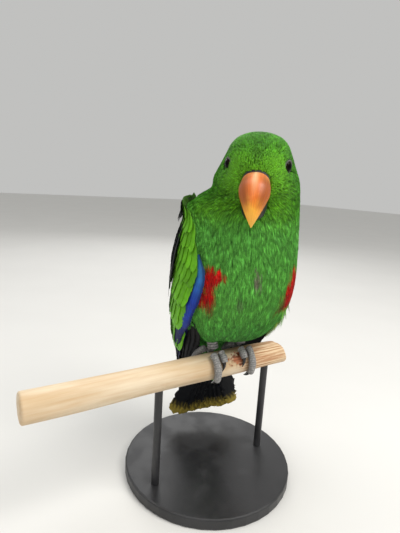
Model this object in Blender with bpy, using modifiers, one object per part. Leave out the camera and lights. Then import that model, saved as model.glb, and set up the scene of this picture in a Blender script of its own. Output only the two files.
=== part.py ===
"""Life-size still model of a male eclectus parrot on a cut length of branch, over a plain display stand.

Metres, +Z up. The origin is the centre of the stand base's underside. The perch runs along X and the
feet grip it square, facing -Y. The bird's body is turned to its right, and its head further still.
"""

import math
import random
from collections import namedtuple

import bmesh
import bpy
import numpy as np
from mathutils import Matrix, Vector

# The gap that neighbouring pieces keep
GAP = 0.0003
SEED = 11

# Stand and perch
BASE_RADIUS = 0.080
BASE_THICK = 0.010
BASE_EDGE = 0.0015
PERCH_RADIUS = 0.0122
PERCH_LEFT = -0.172
PERCH_RIGHT = 0.078
PERCH_TOP = 0.1245
PERCH_EDGE = 0.0012
PERCH_WAVE = 0.0003
PERCH_WAVE_LENGTH = 0.026
PERCH_STEPS = 5

# The perch's right end is cut on a slant, shorter on top by this much
PERCH_SLANT = 0.0085
ROD_RADIUS = 0.0035
ROD_PLACES = {"left": -0.062, "right": 0.056}
ROD_SINK = 0.006

# The point on the perch's top midway between the feet
FEET = Vector((0.010, -0.010, PERCH_TOP))
PERCH_AXIS_Z = PERCH_TOP - PERCH_RADIUS
FOOT_PLACES = {"left": 0.0120, "right": -0.0190}

# How far body and head are turned to the bird's right, and how far the head bows
BODY_YAW = math.radians(20)
HEAD_YAW = math.radians(42)
HEAD_BOW = math.radians(19)

# The point midway between the eyes: ahead of the feet, to their left, above the perch
EYE_MIDDLE = (0.0281, 0.0023, 0.1663)
EYE_OUT = 0.0257
EYE_AHEAD_SHARE = 0.50
EYE_RADIUS = 0.0062
LID_RADIUS = 0.0050
LID_THICK = 0.0012

UP = Vector((0, 0, 1))
ACROSS = Vector((1, 0, 0))
SIDES = {"left": 1, "right": -1}

Station = namedtuple("Station", "centre yaw lean width front back front_power back_power right")
Slice = namedtuple("Slice", "top_ahead top_up low_ahead low_up width")
Bill = namedtuple("Bill", "slices top_power low_power")
Row = namedtuple("Row", "count root_places root_shares tip_places tip_shares width lift arch")


def forward_of(yaw):
    """Level direction that faces -Y, turned by yaw towards -X."""
    return Vector((-math.sin(yaw), -math.cos(yaw), 0))


def left_of(yaw):
    """The bird's left for that yaw."""
    return Vector((math.cos(yaw), -math.sin(yaw), 0))


def tilted(yaw, lean):
    """Forward and upward directions once the upward one leans ahead."""
    ahead = forward_of(yaw)
    return (
        ahead * math.cos(lean) - UP * math.sin(lean),
        ahead * math.sin(lean) + UP * math.cos(lean),
    )


def from_body(ahead, left, up):
    """World point in the body's own directions, measured from the feet."""
    return FEET + forward_of(BODY_YAW) * ahead + left_of(BODY_YAW) * left + UP * up


HEAD_FORWARD, HEAD_UP = tilted(HEAD_YAW, HEAD_BOW)
HEAD_LEFT = left_of(HEAD_YAW)
EYE_MIDDLE_POINT = from_body(*EYE_MIDDLE)


def from_head(ahead, left, up):
    """World point in the head's own directions, measured from midway between the eyes."""
    return EYE_MIDDLE_POINT + HEAD_FORWARD * ahead + HEAD_LEFT * left + HEAD_UP * up


def head_station(ahead, up, width, front, back, front_power=2.0, right=0.0):
    centre = from_head(ahead, 0, up)
    return Station(centre, HEAD_YAW, HEAD_BOW, width, front, back, front_power, 2.0, right)


def body_station(ahead, left, up, yaw, lean, width, front, back, front_power=2.0, right=0.0):
    centre = from_body(ahead, left, up)
    turned, leaning = math.radians(yaw), math.radians(lean)
    return Station(centre, turned, leaning, width, front, back, front_power, 2.0, right)


# Cross sections of the feathered body from crown to tail root: centre, half width, depth to the front
# and to the back, how square the front is, and how much wider the bird's right side is, where it holds
# its wing a little away from the body
BODY_STATIONS = [
    head_station(-0.0085, 0.0238, 0.0006, 0.0006, 0.0006),
    head_station(-0.0085, 0.0229, 0.0088, 0.0092, 0.0084),
    head_station(-0.0095, 0.0195, 0.0176, 0.0177, 0.0162, 1.9),
    head_station(-0.0110, 0.0135, 0.0234, 0.0262, 0.0222, 1.7),
    head_station(-0.0130, 0.0050, 0.0271, 0.0345, 0.0240, 1.5, 0.0004),
    head_station(-0.0140, -0.0050, 0.0310, 0.0370, 0.0248, 1.45, 0.0014),
    head_station(-0.0135, -0.0150, 0.0350, 0.0320, 0.0260, 1.6, 0.0024),
    head_station(-0.0120, -0.0250, 0.0366, 0.0220, 0.0292, 1.9, 0.0028),
    body_station(0.0095, 0.0096, 0.136, 34, 18, 0.0382, 0.0255, 0.0322, 2.0, 0.0145),
    body_station(0.0075, 0.0082, 0.122, 27, 18, 0.0418, 0.0305, 0.0355, 2.0, 0.0098),
    body_station(0.0050, 0.0065, 0.106, 22, 20, 0.0455, 0.0365, 0.0360, 2.1, 0.0078),
    body_station(0.0040, 0.0050, 0.088, 20, 22, 0.0472, 0.0415, 0.0385, 2.2, 0.0066),
    body_station(0.0010, 0.0040, 0.068, 20, 22, 0.0487, 0.0420, 0.0395, 2.2, 0.0052),
    body_station(-0.0040, 0.0030, 0.048, 20, 24, 0.0462, 0.0390, 0.0380, 2.2, 0.0060),
    body_station(-0.0120, 0.0015, 0.029, 20, 28, 0.0386, 0.0315, 0.0320, 2.1, 0.0070),
    body_station(-0.0250, 0.0000, 0.017, 20, 34, 0.0310, 0.0150, 0.0235, 2.0, 0.0030),
    body_station(-0.0375, -0.0015, 0.000, 20, 32, 0.0230, 0.0080, 0.0150),
    body_station(-0.0430, -0.0025, -0.016, 20, 26, 0.0155, 0.0080, 0.0100),
    body_station(-0.0460, -0.0030, -0.030, 20, 18, 0.0120, 0.0050, 0.0060),
]
CROWN_PLACE = 0.0
HEAD_END = 7.5
NECK_END = 8.7
TORSO_END = 16.2
TAIL_CORE_END = 18.0

# The surface that the folded wings lie on: over the flanks, then down past the rump and over the tail
WING_STATIONS = [
    body_station(0.0080, 0.0088, 0.134, 30, 18, 0.0390, 0.0280, 0.0350, 2.0, 0.0185),
    body_station(0.0060, 0.0080, 0.124, 24, 18, 0.0436, 0.0335, 0.0380, 2.0, 0.0112),
    body_station(0.0050, 0.0065, 0.106, 22, 20, 0.0483, 0.0385, 0.0390, 2.1, 0.0082),
    body_station(0.0040, 0.0050, 0.088, 20, 22, 0.0508, 0.0435, 0.0420, 2.2, 0.0067),
    body_station(0.0010, 0.0040, 0.068, 20, 22, 0.0520, 0.0440, 0.0430, 2.2, 0.0057),
    body_station(-0.0040, 0.0030, 0.048, 20, 22, 0.0512, 0.0410, 0.0425, 2.2, 0.0061),
    body_station(-0.0130, 0.0020, 0.028, 20, 22, 0.0486, 0.0350, 0.0390, 2.0, 0.0060),
    body_station(-0.0220, 0.0005, 0.008, 20, 20, 0.0452, 0.0280, 0.0345, 2.0, 0.0039),
    body_station(-0.0360, -0.0015, -0.015, 20, 20, 0.0390, 0.0180, 0.0235, 2.0, 0.0016),
    body_station(-0.0520, -0.0030, -0.038, 20, 18, 0.0310, 0.0090, 0.0120, 2.0, 0.0008),
    body_station(-0.0655, -0.0040, -0.062, 20, 16, 0.0230, 0.0040, 0.0085),
]
WING_FRONT_ANGLES = {
    "right": [100, 68, 54, 46, 48, 48, 50, 55, 66, 88, 122],
    "left": [104, 92, 88, 88, 90, 92, 96, 98, 100, 104, 122],
}
WING_BACK_ANGLES = [118, 134, 146, 152, 157, 160, 162, 161, 158, 156, 162]
WING_CORE_START = 0.4
WING_CORE_END = 5.9
WING_CORE_INSET = 0.04
WING_CORE_ROWS = 7
WING_CORE_COLUMNS = 6
WING_CORE_THICK = 0.0034
WING_HUG = {
    "right": [-0.0012] * 11,
    "left": [0.0035, 0.0035, 0.0035, 0.0035, 0.0032, 0.0020, 0.0005, 0, 0, 0, 0],
}
BED_REACH = {"left": 0.006, "right": 0.002}
BED_HEIGHT = 0.006
VANE_THICK = 0.0008
VANE_EDGE_SHARE = 0.32
VANE_SHAFT_SHARE = 0.60
VANE_TILT = math.radians(6.5)
ROOT_DEPTH = -0.0020
CORE_TOP = -0.0004
WING_STEP = 0.004
WING_CURVE = 0.050

# Rows of wing feathers, innermost layer first: how many, where roots and tips lie down the wing and
# across it from its front edge to its back one, half width, how far the tips stand off, and how far the
# feathers arch away on their way there
WING_ROWS = [
    Row(5, (5.4, 5.2), (0.05, 0.36), (10.0, 8.0), (0.42, 0.82), 0.0098, 0.0008, 0.0),
    Row(5, (5.2, 4.2), (0.14, 0.82), (7.7, 7.3), (0.18, 0.92), 0.0122, 0.0026, 0.0),
    Row(5, (3.9, 3.4), (0.18, 0.80), (5.9, 5.7), (0.18, 0.88), 0.0114, 0.0026, 0.0),
    Row(4, (2.5, 2.0), (0.20, 0.82), (4.2, 3.9), (0.20, 0.88), 0.0126, 0.0026, 0.0),
    Row(3, (1.3, 1.0), (0.24, 0.76), (2.9, 2.7), (0.22, 0.80), 0.0115, 0.0026, 0.0),
]

# On each side the coverts along the wing's front edge, and the long shoulder feathers over its back
SIDE_ROWS = {
    "left": [
        Row(2, (4.2, 4.0), (0.05, 0.15), (6.4, 6.0), (0.07, 0.19), 0.0080, 0.0030, 0.0),
        Row(2, (0.9, 0.8), (0.46, 0.70), (4.6, 4.2), (0.50, 0.74), 0.0100, 0.0046, 0.0010),
    ],
    "right": [
        Row(2, (2.4, 3.8), (0.05, 0.09), (4.8, 6.6), (0.05, 0.14), 0.0070, 0.0024, 0.0),
        Row(3, (0.8, 0.8), (0.44, 0.82), (4.6, 4.0), (0.49, 0.84), 0.0100, 0.0030, 0.0084),
    ],
}

# Tail
TAIL_ROOT = (-0.0440, -0.0025, -0.0180)
TAIL_TIP = (-0.0670, -0.0055, -0.1015)
TAIL_ARCH = 0.0040
TAIL_ROUND = 0.0030
TAIL_TILT = 0.0050
TAIL_SAG = 0.0030
TAIL_CURVE = 0.5
TAIL_LEAN = math.radians(-14)

# The tail feathers, the coverts over them and the coverts below: how many, how far down the tail they
# reach, how wide they spread, half width, and how far they stand ahead of the tail feathers
TailRow = namedtuple("TailRow", "count reach root_spread tip_spread width rise root_up")
TAIL_ROWS = [
    TailRow(10, 1.00, 0.0060, 0.0335, 0.0110, 0.0000, 0.0000),
    TailRow(3, 0.36, 0.0040, 0.0110, 0.0105, -0.0042, 0.0060),
    TailRow(3, 0.40, 0.0040, 0.0110, 0.0105, 0.0046, 0.0060),
]

# Legs, toes and claws
THIGH_TOPS = {
    "left": [(0.009, 0.0270, 0.054), (0.009, 0.0275, 0.041)],
    "right": [(0.010, -0.0225, 0.054), (0.010, -0.0230, 0.041)],
}
THIGH_RADII = (0.0115, 0.0175, 0.0165, 0.0125, 0.0070)
LEG_RADIUS = 0.0042
PAD_RADIUS = 0.0062
PAD_FLAT = 0.8
TOE_SWELL = 0.06
CLAW_TAPER = 0.85

# The shank from thigh to foot pad: outwards, backwards and above the pad
LEG_JOINTS = [
    (0.0020, 0.0060, 0.0250),
    (0.0012, 0.0035, 0.0140),
    (0.0004, 0.0010, 0.0060),
    (0.0000, 0.0000, 0.0000),
]
TOE_RADIUS = 0.0036
CLAW_RADIUS = 0.0021

HEAD_STEPS = 12
NECK_STEPS = 4
TORSO_STEPS = 13
TAIL_CORE_STEPS = 4
UPPER_BILL_STEPS = 10
LOWER_BILL_STEPS = 8
SEGMENTS_BODY = 28
SEGMENTS_BILL = 14
SEGMENTS_TOE = 8
SEGMENTS_CLAW = 6
SEGMENTS_PERCH = 24
SEGMENTS_ROD = 16
SEGMENTS_BASE = 40
SEGMENTS_LEG = 10
SEGMENTS_THIGH = 14
SEGMENTS_EYE = 14
RINGS_EYE = 8
SEGMENTS_LID = 12
SIDES_LID = 5


def clear_scene():
    for obj in list(bpy.data.objects):
        bpy.data.objects.remove(obj)


def collection(name):
    made = bpy.data.collections.new(name)
    bpy.context.scene.collection.children.link(made)
    return made


def material(name, colour, roughness, metallic=0.0):
    made = bpy.data.materials.new(name)
    made.use_nodes = True
    shader = made.node_tree.nodes["Principled BSDF"]
    shader.inputs["Base Color"].default_value = (*colour, 1)
    shader.inputs["Roughness"].default_value = roughness
    shader.inputs["Metallic"].default_value = metallic
    return made


clear_scene()
PARROT = collection("eclectus_parrot")
HELPERS = collection("helpers")

GREEN = material("green_plumage", (0.07, 0.30, 0.03), 0.65)
WING_GREEN = material("wing_green", (0.10, 0.36, 0.03), 0.5)
TAIL_DARK = material("tail_dark", (0.03, 0.04, 0.05), 0.55)
BILL_ORANGE = material("bill_orange", (0.85, 0.25, 0.06), 0.25)
BILL_BLACK = material("bill_black", (0.02, 0.02, 0.022), 0.35)
SKIN_GREY = material("skin_grey", (0.28, 0.28, 0.30), 0.6)
CLAW_BLACK = material("claw_black", (0.025, 0.025, 0.028), 0.3)
EYE_DARK = material("eye_dark", (0.03, 0.012, 0.006), 0.05)
PERCH_WOOD = material("perch_wood", (0.74, 0.55, 0.36), 0.7)
STAND_BLACK = material("stand_black", (0.03, 0.03, 0.032), 0.45)


def add_piece(name, mesh, finish):
    """A named sub-part in the parrot's collection."""
    obj = bpy.data.objects.new(name, mesh)
    PARROT.objects.link(obj)
    mesh.materials.clear()
    mesh.materials.append(finish)
    return obj


def helper(mesh):
    """A closed object for a Boolean, which never becomes a piece."""
    obj = bpy.data.objects.new("helper", mesh)
    HELPERS.objects.link(obj)
    obj.hide_render = True
    obj.display_type = "WIRE"
    return obj


def shade(mesh):
    mesh.shade_smooth()
    mesh.set_sharp_from_angle(angle=math.radians(50))


def mesh_of(points, triangles):
    """A closed mesh with its faces pointing out."""
    mesh = bpy.data.meshes.new("shape")
    mesh.from_pydata([tuple(p) for p in points], [], triangles)
    shape = bmesh.new()
    shape.from_mesh(mesh)
    bmesh.ops.recalc_face_normals(shape, faces=shape.faces)
    shape.to_mesh(mesh)
    shape.free()
    shade(mesh)
    return mesh


def loft(rings):
    """Joins rings of equal count with triangles and closes both ends."""
    count = len(rings[0])
    points = [p for ring in rings for p in ring]
    triangles = []
    for row in range(len(rings) - 1):
        for i in range(count):
            a, b = row * count + i, row * count + (i + 1) % count
            triangles += [(a, b, b + count), (a, b + count, a + count)]
    for row in (0, len(rings) - 1):
        points.append(sum(rings[row], Vector()) / count)
        hub = len(points) - 1
        triangles += [(row * count + (i + 1) % count, row * count + i, hub) for i in range(count)]
    return mesh_of(points, triangles)


def slab(outer, inner):
    """A thin closed sheet between two grids of points, split into triangles alike on both faces."""
    rows, columns = len(outer), len(outer[0])
    points = [p for row in outer for p in row] + [p for row in inner for p in row]
    shift = rows * columns
    triangles = []
    for r in range(rows - 1):
        for c in range(columns - 1):
            a = r * columns + c
            b, d, e = a + 1, a + columns, a + columns + 1
            for s in (0, shift):
                triangles += [(a + s, b + s, e + s), (a + s, e + s, d + s)]
    rim = [(0, c) for c in range(columns)]
    rim += [(r, columns - 1) for r in range(1, rows)]
    rim += [(rows - 1, c) for c in range(columns - 2, -1, -1)]
    rim += [(r, 0) for r in range(rows - 2, 0, -1)]
    ids = [r * columns + c for r, c in rim]
    for a, b in zip(ids, ids[1:] + ids[:1]):
        triangles += [(a, b, b + shift), (a, b + shift, a + shift)]
    return mesh_of(points, triangles)


def smooth_value(values, place):
    """Catmull-Rom curve through equally spaced values, read at a fractional index."""
    last = len(values) - 1
    place = min(max(place, 0.0), last)
    first = min(int(place), last - 1)
    part = place - first
    around = [values[min(max(first + k, 0), last)] for k in (-1, 0, 1, 2)]
    a, b, c, d = (np.asarray(v, float) for v in around)
    bend = (2 * a - 5 * b + 4 * c - d) * part**2 + (3 * b - a - 3 * c + d) * part**3
    return 0.5 * (2 * b + (c - a) * part + bend)


def station_at(stations, place):
    """The cross section at a fractional index between the stated ones."""
    value = smooth_value([(*s.centre, *s[1:]) for s in stations], place)
    return Station(Vector(value[:3]), *value[3:])


def signed_power(value, power):
    return math.copysign(abs(value) ** power, value)


def ring_point(station, angle, grow=0.0):
    """A point of a cross section: angle 0 is the front, and a positive one runs to the left."""
    ahead, _ = tilted(station.yaw, station.lean)
    across, along = math.sin(angle), math.cos(angle)
    if along > 0:
        depth, power = station.front, station.front_power
    else:
        depth, power = station.back, station.back_power
    width = station.width + (station.right if across < 0 else 0.0)
    x = signed_power(across, 2 / power) * (width + grow)
    y = signed_power(along, 2 / power) * (depth + grow)
    return station.centre + left_of(station.yaw) * x + ahead * y


def body_ring(place, shift=0.0, count=SEGMENTS_BODY):
    """A cross section of the body, moved up along the spine by shift."""
    station = station_at(BODY_STATIONS, place)
    _, upward = tilted(station.yaw, station.lean)
    return [ring_point(station, 2 * math.pi * i / count) + upward * shift for i in range(count)]


def body_mesh(first, last, steps):
    """The stretch of the feathered body between two places, short of each cut by half a gap."""
    rings = [body_ring(first, -GAP / 2)]
    rings += [body_ring(first + (last - first) * i / steps) for i in range(1, steps)]
    return loft(rings + [body_ring(last, GAP / 2)])


def evaluated(obj):
    bpy.context.view_layer.update()
    graph = bpy.context.evaluated_depsgraph_get()
    return bpy.data.meshes.new_from_object(obj.evaluated_get(graph))


def keep_largest(mesh):
    """Drops every closed surface of the mesh but the one that encloses most."""
    shape = bmesh.new()
    shape.from_mesh(mesh)
    bmesh.ops.triangulate(shape, faces=shape.faces)
    seen, groups = set(), []
    for face in shape.faces:
        if face in seen:
            continue
        group, queue = [], [face]
        seen.add(face)
        while queue:
            current = queue.pop()
            group.append(current)
            near = {other for edge in current.edges for other in edge.link_faces} - seen
            seen |= near
            queue += near
        groups.append(group)

    def enclosed(group):
        corners = ([v.co for v in face.verts] for face in group)
        return abs(sum(a.dot(b.cross(c)) for a, b, c in corners))

    groups.sort(key=enclosed, reverse=True)
    bmesh.ops.delete(shape, geom=[face for group in groups[1:] for face in group], context="FACES")
    shape.to_mesh(mesh)
    shape.free()
    shade(mesh)


def combine(obj, meshes, operation, solver="MANIFOLD"):
    """Applies one Boolean with closed helper meshes, which are then removed."""
    tools = bpy.data.collections.new("tools")
    bpy.context.scene.collection.children.link(tools)
    for mesh in meshes:
        tool = helper(mesh)
        tools.objects.link(tool)
    modifier = obj.modifiers.new(operation.lower(), "BOOLEAN")
    modifier.operation = operation
    modifier.solver = solver
    modifier.operand_type = "COLLECTION"
    modifier.collection = tools
    made = evaluated(obj)
    obj.modifiers.clear()
    finish = obj.data.materials[0]
    obj.data = made
    for tool in list(tools.objects):
        bpy.data.objects.remove(tool)
    bpy.data.collections.remove(tools)
    keep_largest(made)
    made.materials.clear()
    made.materials.append(finish)


def tube(path, radii, count, grow=0.0):
    """A tube along a path, made larger all round by grow."""
    rings = []
    for i, point in enumerate(path):
        along = (path[min(i + 1, len(path) - 1)] - path[max(i - 1, 0)]).normalized()
        across = (ACROSS - along * ACROSS.dot(along)).normalized()
        upward = along.cross(across)
        middle = point + along * grow * ((i == len(path) - 1) - (i == 0))
        turns = [2 * math.pi * k / count for k in range(count)]
        reach = radii[i] + grow
        rings.append([middle + (across * math.cos(a) + upward * math.sin(a)) * reach for a in turns])
    return loft(rings)


def ball(centre, radius, segments=SEGMENTS_EYE, rings=RINGS_EYE):
    shape = bmesh.new()
    bmesh.ops.create_uvsphere(
        shape, u_segments=segments, v_segments=rings, radius=radius, matrix=Matrix.Translation(centre)
    )
    bmesh.ops.triangulate(shape, faces=shape.faces)
    mesh = bpy.data.meshes.new("ball")
    shape.to_mesh(mesh)
    shape.free()
    shade(mesh)
    return mesh


def hoop(centre, axis, radius, thick, segments=SEGMENTS_LID, sides=SIDES_LID):
    """A ring about an axis."""
    first = axis.orthogonal().normalized()
    second = axis.cross(first)
    points, triangles = [], []
    for i in range(segments):
        turn = 2 * math.pi * i / segments
        outward = first * math.cos(turn) + second * math.sin(turn)
        for k in range(sides):
            roll = 2 * math.pi * k / sides
            around = outward * (radius + thick * math.cos(roll))
            points.append(centre + around + axis * thick * math.sin(roll))
    for i in range(segments):
        for k in range(sides):
            a, b = i * sides + k, i * sides + (k + 1) % sides
            c, d = (i + 1) % segments * sides + k, (i + 1) % segments * sides + (k + 1) % sides
            triangles += [(a, b, d), (a, d, c)]
    return mesh_of(points, triangles)


def vane(path, normals, widths, tilt, curve):
    """A feather: a thin blade, thickest along its shaft, turned about the shaft by tilt and bent to a
    radius of curve across it."""
    outer, inner = [], []
    for i, point in enumerate(path):
        along = (path[min(i + 1, len(path) - 1)] - path[max(i - 1, 0)]).normalized()
        across = along.cross(normals[i]).normalized()
        upward = across.cross(along)
        across, upward = (
            across * math.cos(tilt) + upward * math.sin(tilt),
            upward * math.cos(tilt) - across * math.sin(tilt),
        )
        edge = upward * VANE_THICK * VANE_EDGE_SHARE
        middle = upward * VANE_THICK * VANE_SHAFT_SHARE
        drop = upward * widths[i] ** 2 / (2 * curve)
        left, right = point - across * widths[i] - drop, point + across * widths[i] - drop
        outer.append([left + edge, point + middle, right + edge])
        inner.append([left - edge, point - middle, right - edge])
    return slab(outer, inner)


# Where along a feather its sections lie, and how wide it is there
VANE_STEPS = (0.0, 0.42, 0.86, 1.0)
VANE_WIDTHS = (0.30, 0.95, 0.90, 0.25)


# Head, neck and torso
def eye_place(side):
    """An eyeball's centre and the direction that it looks in."""
    outward = (HEAD_LEFT * side * math.sqrt(1 - EYE_AHEAD_SHARE**2) + HEAD_FORWARD * EYE_AHEAD_SHARE)
    outward.normalize()
    return from_head(0, side * EYE_OUT, 0) - outward * EYE_RADIUS, outward


# Each half of the bill from root to tip. The upper half is arched above and square along its cutting
# edges, and the lower one is a scoop that closes against them
UPPER_BILL = Bill(
    [
        Slice(0.0150, 0.0020, 0.0060, -0.0170, 0.0098),
        Slice(0.0250, 0.0010, 0.0140, -0.0185, 0.0112),
        Slice(0.0345, -0.0018, 0.0230, -0.0198, 0.0118),
        Slice(0.0415, -0.0080, 0.0308, -0.0214, 0.0098),
        Slice(0.0455, -0.0155, 0.0375, -0.0246, 0.0068),
        Slice(0.0472, -0.0238, 0.0418, -0.0282, 0.0038),
        Slice(0.0465, -0.0315, 0.0442, -0.0330, 0.0012),
    ],
    2.0,
    3.2,
)
LOWER_BILL = Bill(
    [
        Slice(0.0050, -0.0176, 0.0010, -0.0300, 0.0090),
        Slice(0.0140, -0.0190, 0.0090, -0.0336, 0.0101),
        Slice(0.0232, -0.0203, 0.0188, -0.0352, 0.0098),
        Slice(0.0312, -0.0221, 0.0296, -0.0341, 0.0078),
        Slice(0.0378, -0.0254, 0.0374, -0.0302, 0.0042),
    ],
    3.2,
    2.0,
)
NOSTRIL = (0.0265, 0.0050, -0.0012)
NOSTRIL_RADIUS = 0.0010
NOSTRIL_FACES = (8, 6)


def bill_mesh(bill, steps, grow=0.0):
    rings = []
    turns = [2 * math.pi * k / SEGMENTS_BILL for k in range(SEGMENTS_BILL)]
    for i in range(steps + 1):
        s = Slice(*smooth_value(bill.slices, (len(bill.slices) - 1) * i / steps))
        top, low = from_head(s.top_ahead, 0, s.top_up), from_head(s.low_ahead, 0, s.low_up)
        middle, half = (top + low) / 2, (top - low) / 2
        half = half * (1 + grow / half.length)
        ring = []
        for turn in turns:
            power = bill.top_power if math.cos(turn) > 0 else bill.low_power
            rise = signed_power(math.cos(turn), 2 / power)
            aside = signed_power(math.sin(turn), 2 / power) * (s.width + grow)
            ring.append(middle + half * rise + HEAD_LEFT * aside)
        rings.append(ring)
    if grow:
        back = (sum(rings[0], Vector()) - sum(rings[1], Vector())).normalized() * grow
        rings[0] = [p + back for p in rings[0]]
    return loft(rings)


def make_head():
    head = add_piece("head", body_mesh(CROWN_PLACE, HEAD_END, HEAD_STEPS), GREEN)
    lids = []
    for side in (-1, 1):
        centre, outward = eye_place(side)
        reach = math.sqrt(EYE_RADIUS**2 - LID_RADIUS**2)
        lids.append(hoop(centre + outward * reach, outward, LID_RADIUS + LID_THICK * 0.5, LID_THICK))
    combine(head, lids, "UNION")
    cuts = [bill_mesh(UPPER_BILL, UPPER_BILL_STEPS, GAP), bill_mesh(LOWER_BILL, LOWER_BILL_STEPS, GAP)]
    for side in (-1, 1):
        centre, outward = eye_place(side)
        cuts.append(ball(centre, EYE_RADIUS + GAP))
        name = "eye_left" if side > 0 else "eye_right"
        add_piece(name, ball(centre, EYE_RADIUS), EYE_DARK)
    combine(head, cuts, "DIFFERENCE")


def make_bill():
    upper = add_piece("bill_upper", bill_mesh(UPPER_BILL, UPPER_BILL_STEPS), BILL_ORANGE)
    ahead, out, up = NOSTRIL
    pits = [ball(from_head(ahead, side * out, up), NOSTRIL_RADIUS, *NOSTRIL_FACES) for side in (-1, 1)]
    combine(upper, pits, "DIFFERENCE")
    add_piece("bill_lower", bill_mesh(LOWER_BILL, LOWER_BILL_STEPS), BILL_BLACK)


# Wings
def wing_point(name, place, share, lift):
    """A point of the surface that a folded wing lies on, from its front edge to its back one."""
    front = smooth_value(WING_FRONT_ANGLES[name], place)
    back = smooth_value(WING_BACK_ANGLES, place)
    angle = math.radians(front + (back - front) * share) * SIDES[name]
    hug = smooth_value(WING_HUG[name], place)
    return ring_point(station_at(WING_STATIONS, place), angle, lift - hug)


def wing_normal(name, place, share):
    along = wing_point(name, place + 0.05, share, 0) - wing_point(name, place - 0.05, share, 0)
    around = wing_point(name, place, share + 0.02, 0) - wing_point(name, place, share - 0.02, 0)
    return along.cross(around).normalized() * SIDES[name]


def wing_slab(name, grow=0.0, reach=0.0, height=0.0):
    """A curved slab over the folded wing's arm, from the shoulder to where the long feathers root.
    Only its outermost rows and columns move out by grow and reach, so a larger one holds a smaller."""
    outer, inner = [], []
    for row in range(WING_CORE_ROWS + 1):
        place = WING_CORE_START + (WING_CORE_END - WING_CORE_START) * row / WING_CORE_ROWS
        place += ((row == WING_CORE_ROWS) - (row == 0)) * grow / WING_STEP
        span = (wing_point(name, place, 1, 0) - wing_point(name, place, 0, 0)).length
        shares = []
        for column in range(WING_CORE_COLUMNS + 1):
            shares.append(WING_CORE_INSET + (1 - 2 * WING_CORE_INSET) * column / WING_CORE_COLUMNS)
        shares[0] -= (grow + reach) / span
        shares[-1] += (grow + reach) / span
        outer.append([wing_point(name, place, s, CORE_TOP + height) for s in shares])
        inner.append([wing_point(name, place, s, CORE_TOP - WING_CORE_THICK - grow) for s in shares])
    return slab(outer, inner)


def wing_bed(name):
    """What the wing's arm takes out of the body, open outwards and under the feathers at its edges."""
    return wing_slab(name, GAP, BED_REACH[name], BED_HEIGHT)


def wing_vane(name, row, share, draw):
    """One feather of a row; draw is the random source of its small differences."""
    root_place, root_share, tip_place, tip_share = (
        first + (last - first) * share
        for first, last in (row.root_places, row.root_shares, row.tip_places, row.tip_shares)
    )
    tip_place += draw.uniform(-0.06, 0.06)
    lift_tip = row.lift * draw.uniform(0.9, 1.1)
    path, normals = [], []
    for t in VANE_STEPS:
        place = root_place + (tip_place - root_place) * t
        across = root_share + (tip_share - root_share) * t
        lift = ROOT_DEPTH + (lift_tip - ROOT_DEPTH) * t + row.arch * math.sin(math.pi * t)
        path.append(wing_point(name, place, across, lift))
        normals.append(wing_normal(name, place, across))
    widths = [row.width * w for w in VANE_WIDTHS]
    tilt = VANE_TILT * draw.uniform(0.85, 1.15) * SIDES[name]
    return vane(path, normals, widths, tilt, WING_CURVE)


def make_wing(name):
    wing = add_piece(f"wing_{name}", wing_slab(name), WING_GREEN)
    draw = random.Random(SEED)
    rows = WING_ROWS + SIDE_ROWS[name]
    vanes = [wing_vane(name, row, i / (row.count - 1), draw) for row in rows for i in range(row.count)]
    combine(wing, vanes, "UNION")


# Tail
def tail_vane(row, share):
    """One tail feather or covert: share runs from the bird's right to its left."""
    spread = 2 * share - 1
    outer = abs(spread)
    start = Vector(TAIL_ROOT) + Vector((row.rise, spread * row.root_spread, row.root_up))
    end = Vector(TAIL_ROOT).lerp(Vector(TAIL_TIP), row.reach)
    end += Vector((row.rise + TAIL_ARCH * outer, spread * row.tip_spread, TAIL_ROUND * outer**2))
    end.z += TAIL_TILT * spread * row.reach
    path = []
    for t in VANE_STEPS:
        flat = start.lerp(end, t)
        flat.x -= TAIL_SAG * math.sin(math.pi * t)
        path.append(from_body(*flat))
    normals = [tilted(BODY_YAW, TAIL_LEAN)[0] * -1] * len(path)
    widths = [row.width * w for w in VANE_WIDTHS]
    return vane(path, normals, widths, VANE_TILT * math.copysign(1, spread), TAIL_CURVE)


def make_tail():
    tail = add_piece("tail", body_mesh(TORSO_END, TAIL_CORE_END, TAIL_CORE_STEPS), TAIL_DARK)
    vanes = [tail_vane(row, i / (row.count - 1)) for row in TAIL_ROWS for i in range(row.count)]
    combine(tail, vanes, "UNION")


# Legs and feet
def on_perch(x, turn, lift):
    """A point over the perch's surface: turn 0 is the top, and a positive one runs down the front."""
    reach = PERCH_RADIUS + lift
    return Vector((FEET.x + x, FEET.y - math.sin(turn) * reach, PERCH_AXIS_Z + math.cos(turn) * reach))


def leg_path(name):
    side = SIDES[name]
    foot = on_perch(FOOT_PLACES[name], 0, PAD_RADIUS * PAD_FLAT + GAP)
    return [foot + Vector((side * out, back, rise)) for out, back, rise in LEG_JOINTS]


# Degrees round the perch from its top for the toe's two ends and its claw's turn
Toe = namedtuple("Toe", "name offset splay start end claw_turn claw_drift")
TOES = [
    Toe("front_outer", 0.0043, -0.0008, 24, 118, 38, 0.0),
    Toe("front_inner", -0.0043, 0.0000, 24, 60, 27, -0.0026),
    Toe("back_outer", 0.0043, 0.0070, -24, -110, -36, 0.0),
    Toe("back_inner", -0.0043, -0.0030, -24, -66, -28, 0.0),
]
TOE_STEPS = 7
CLAW_STEPS = 4


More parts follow.
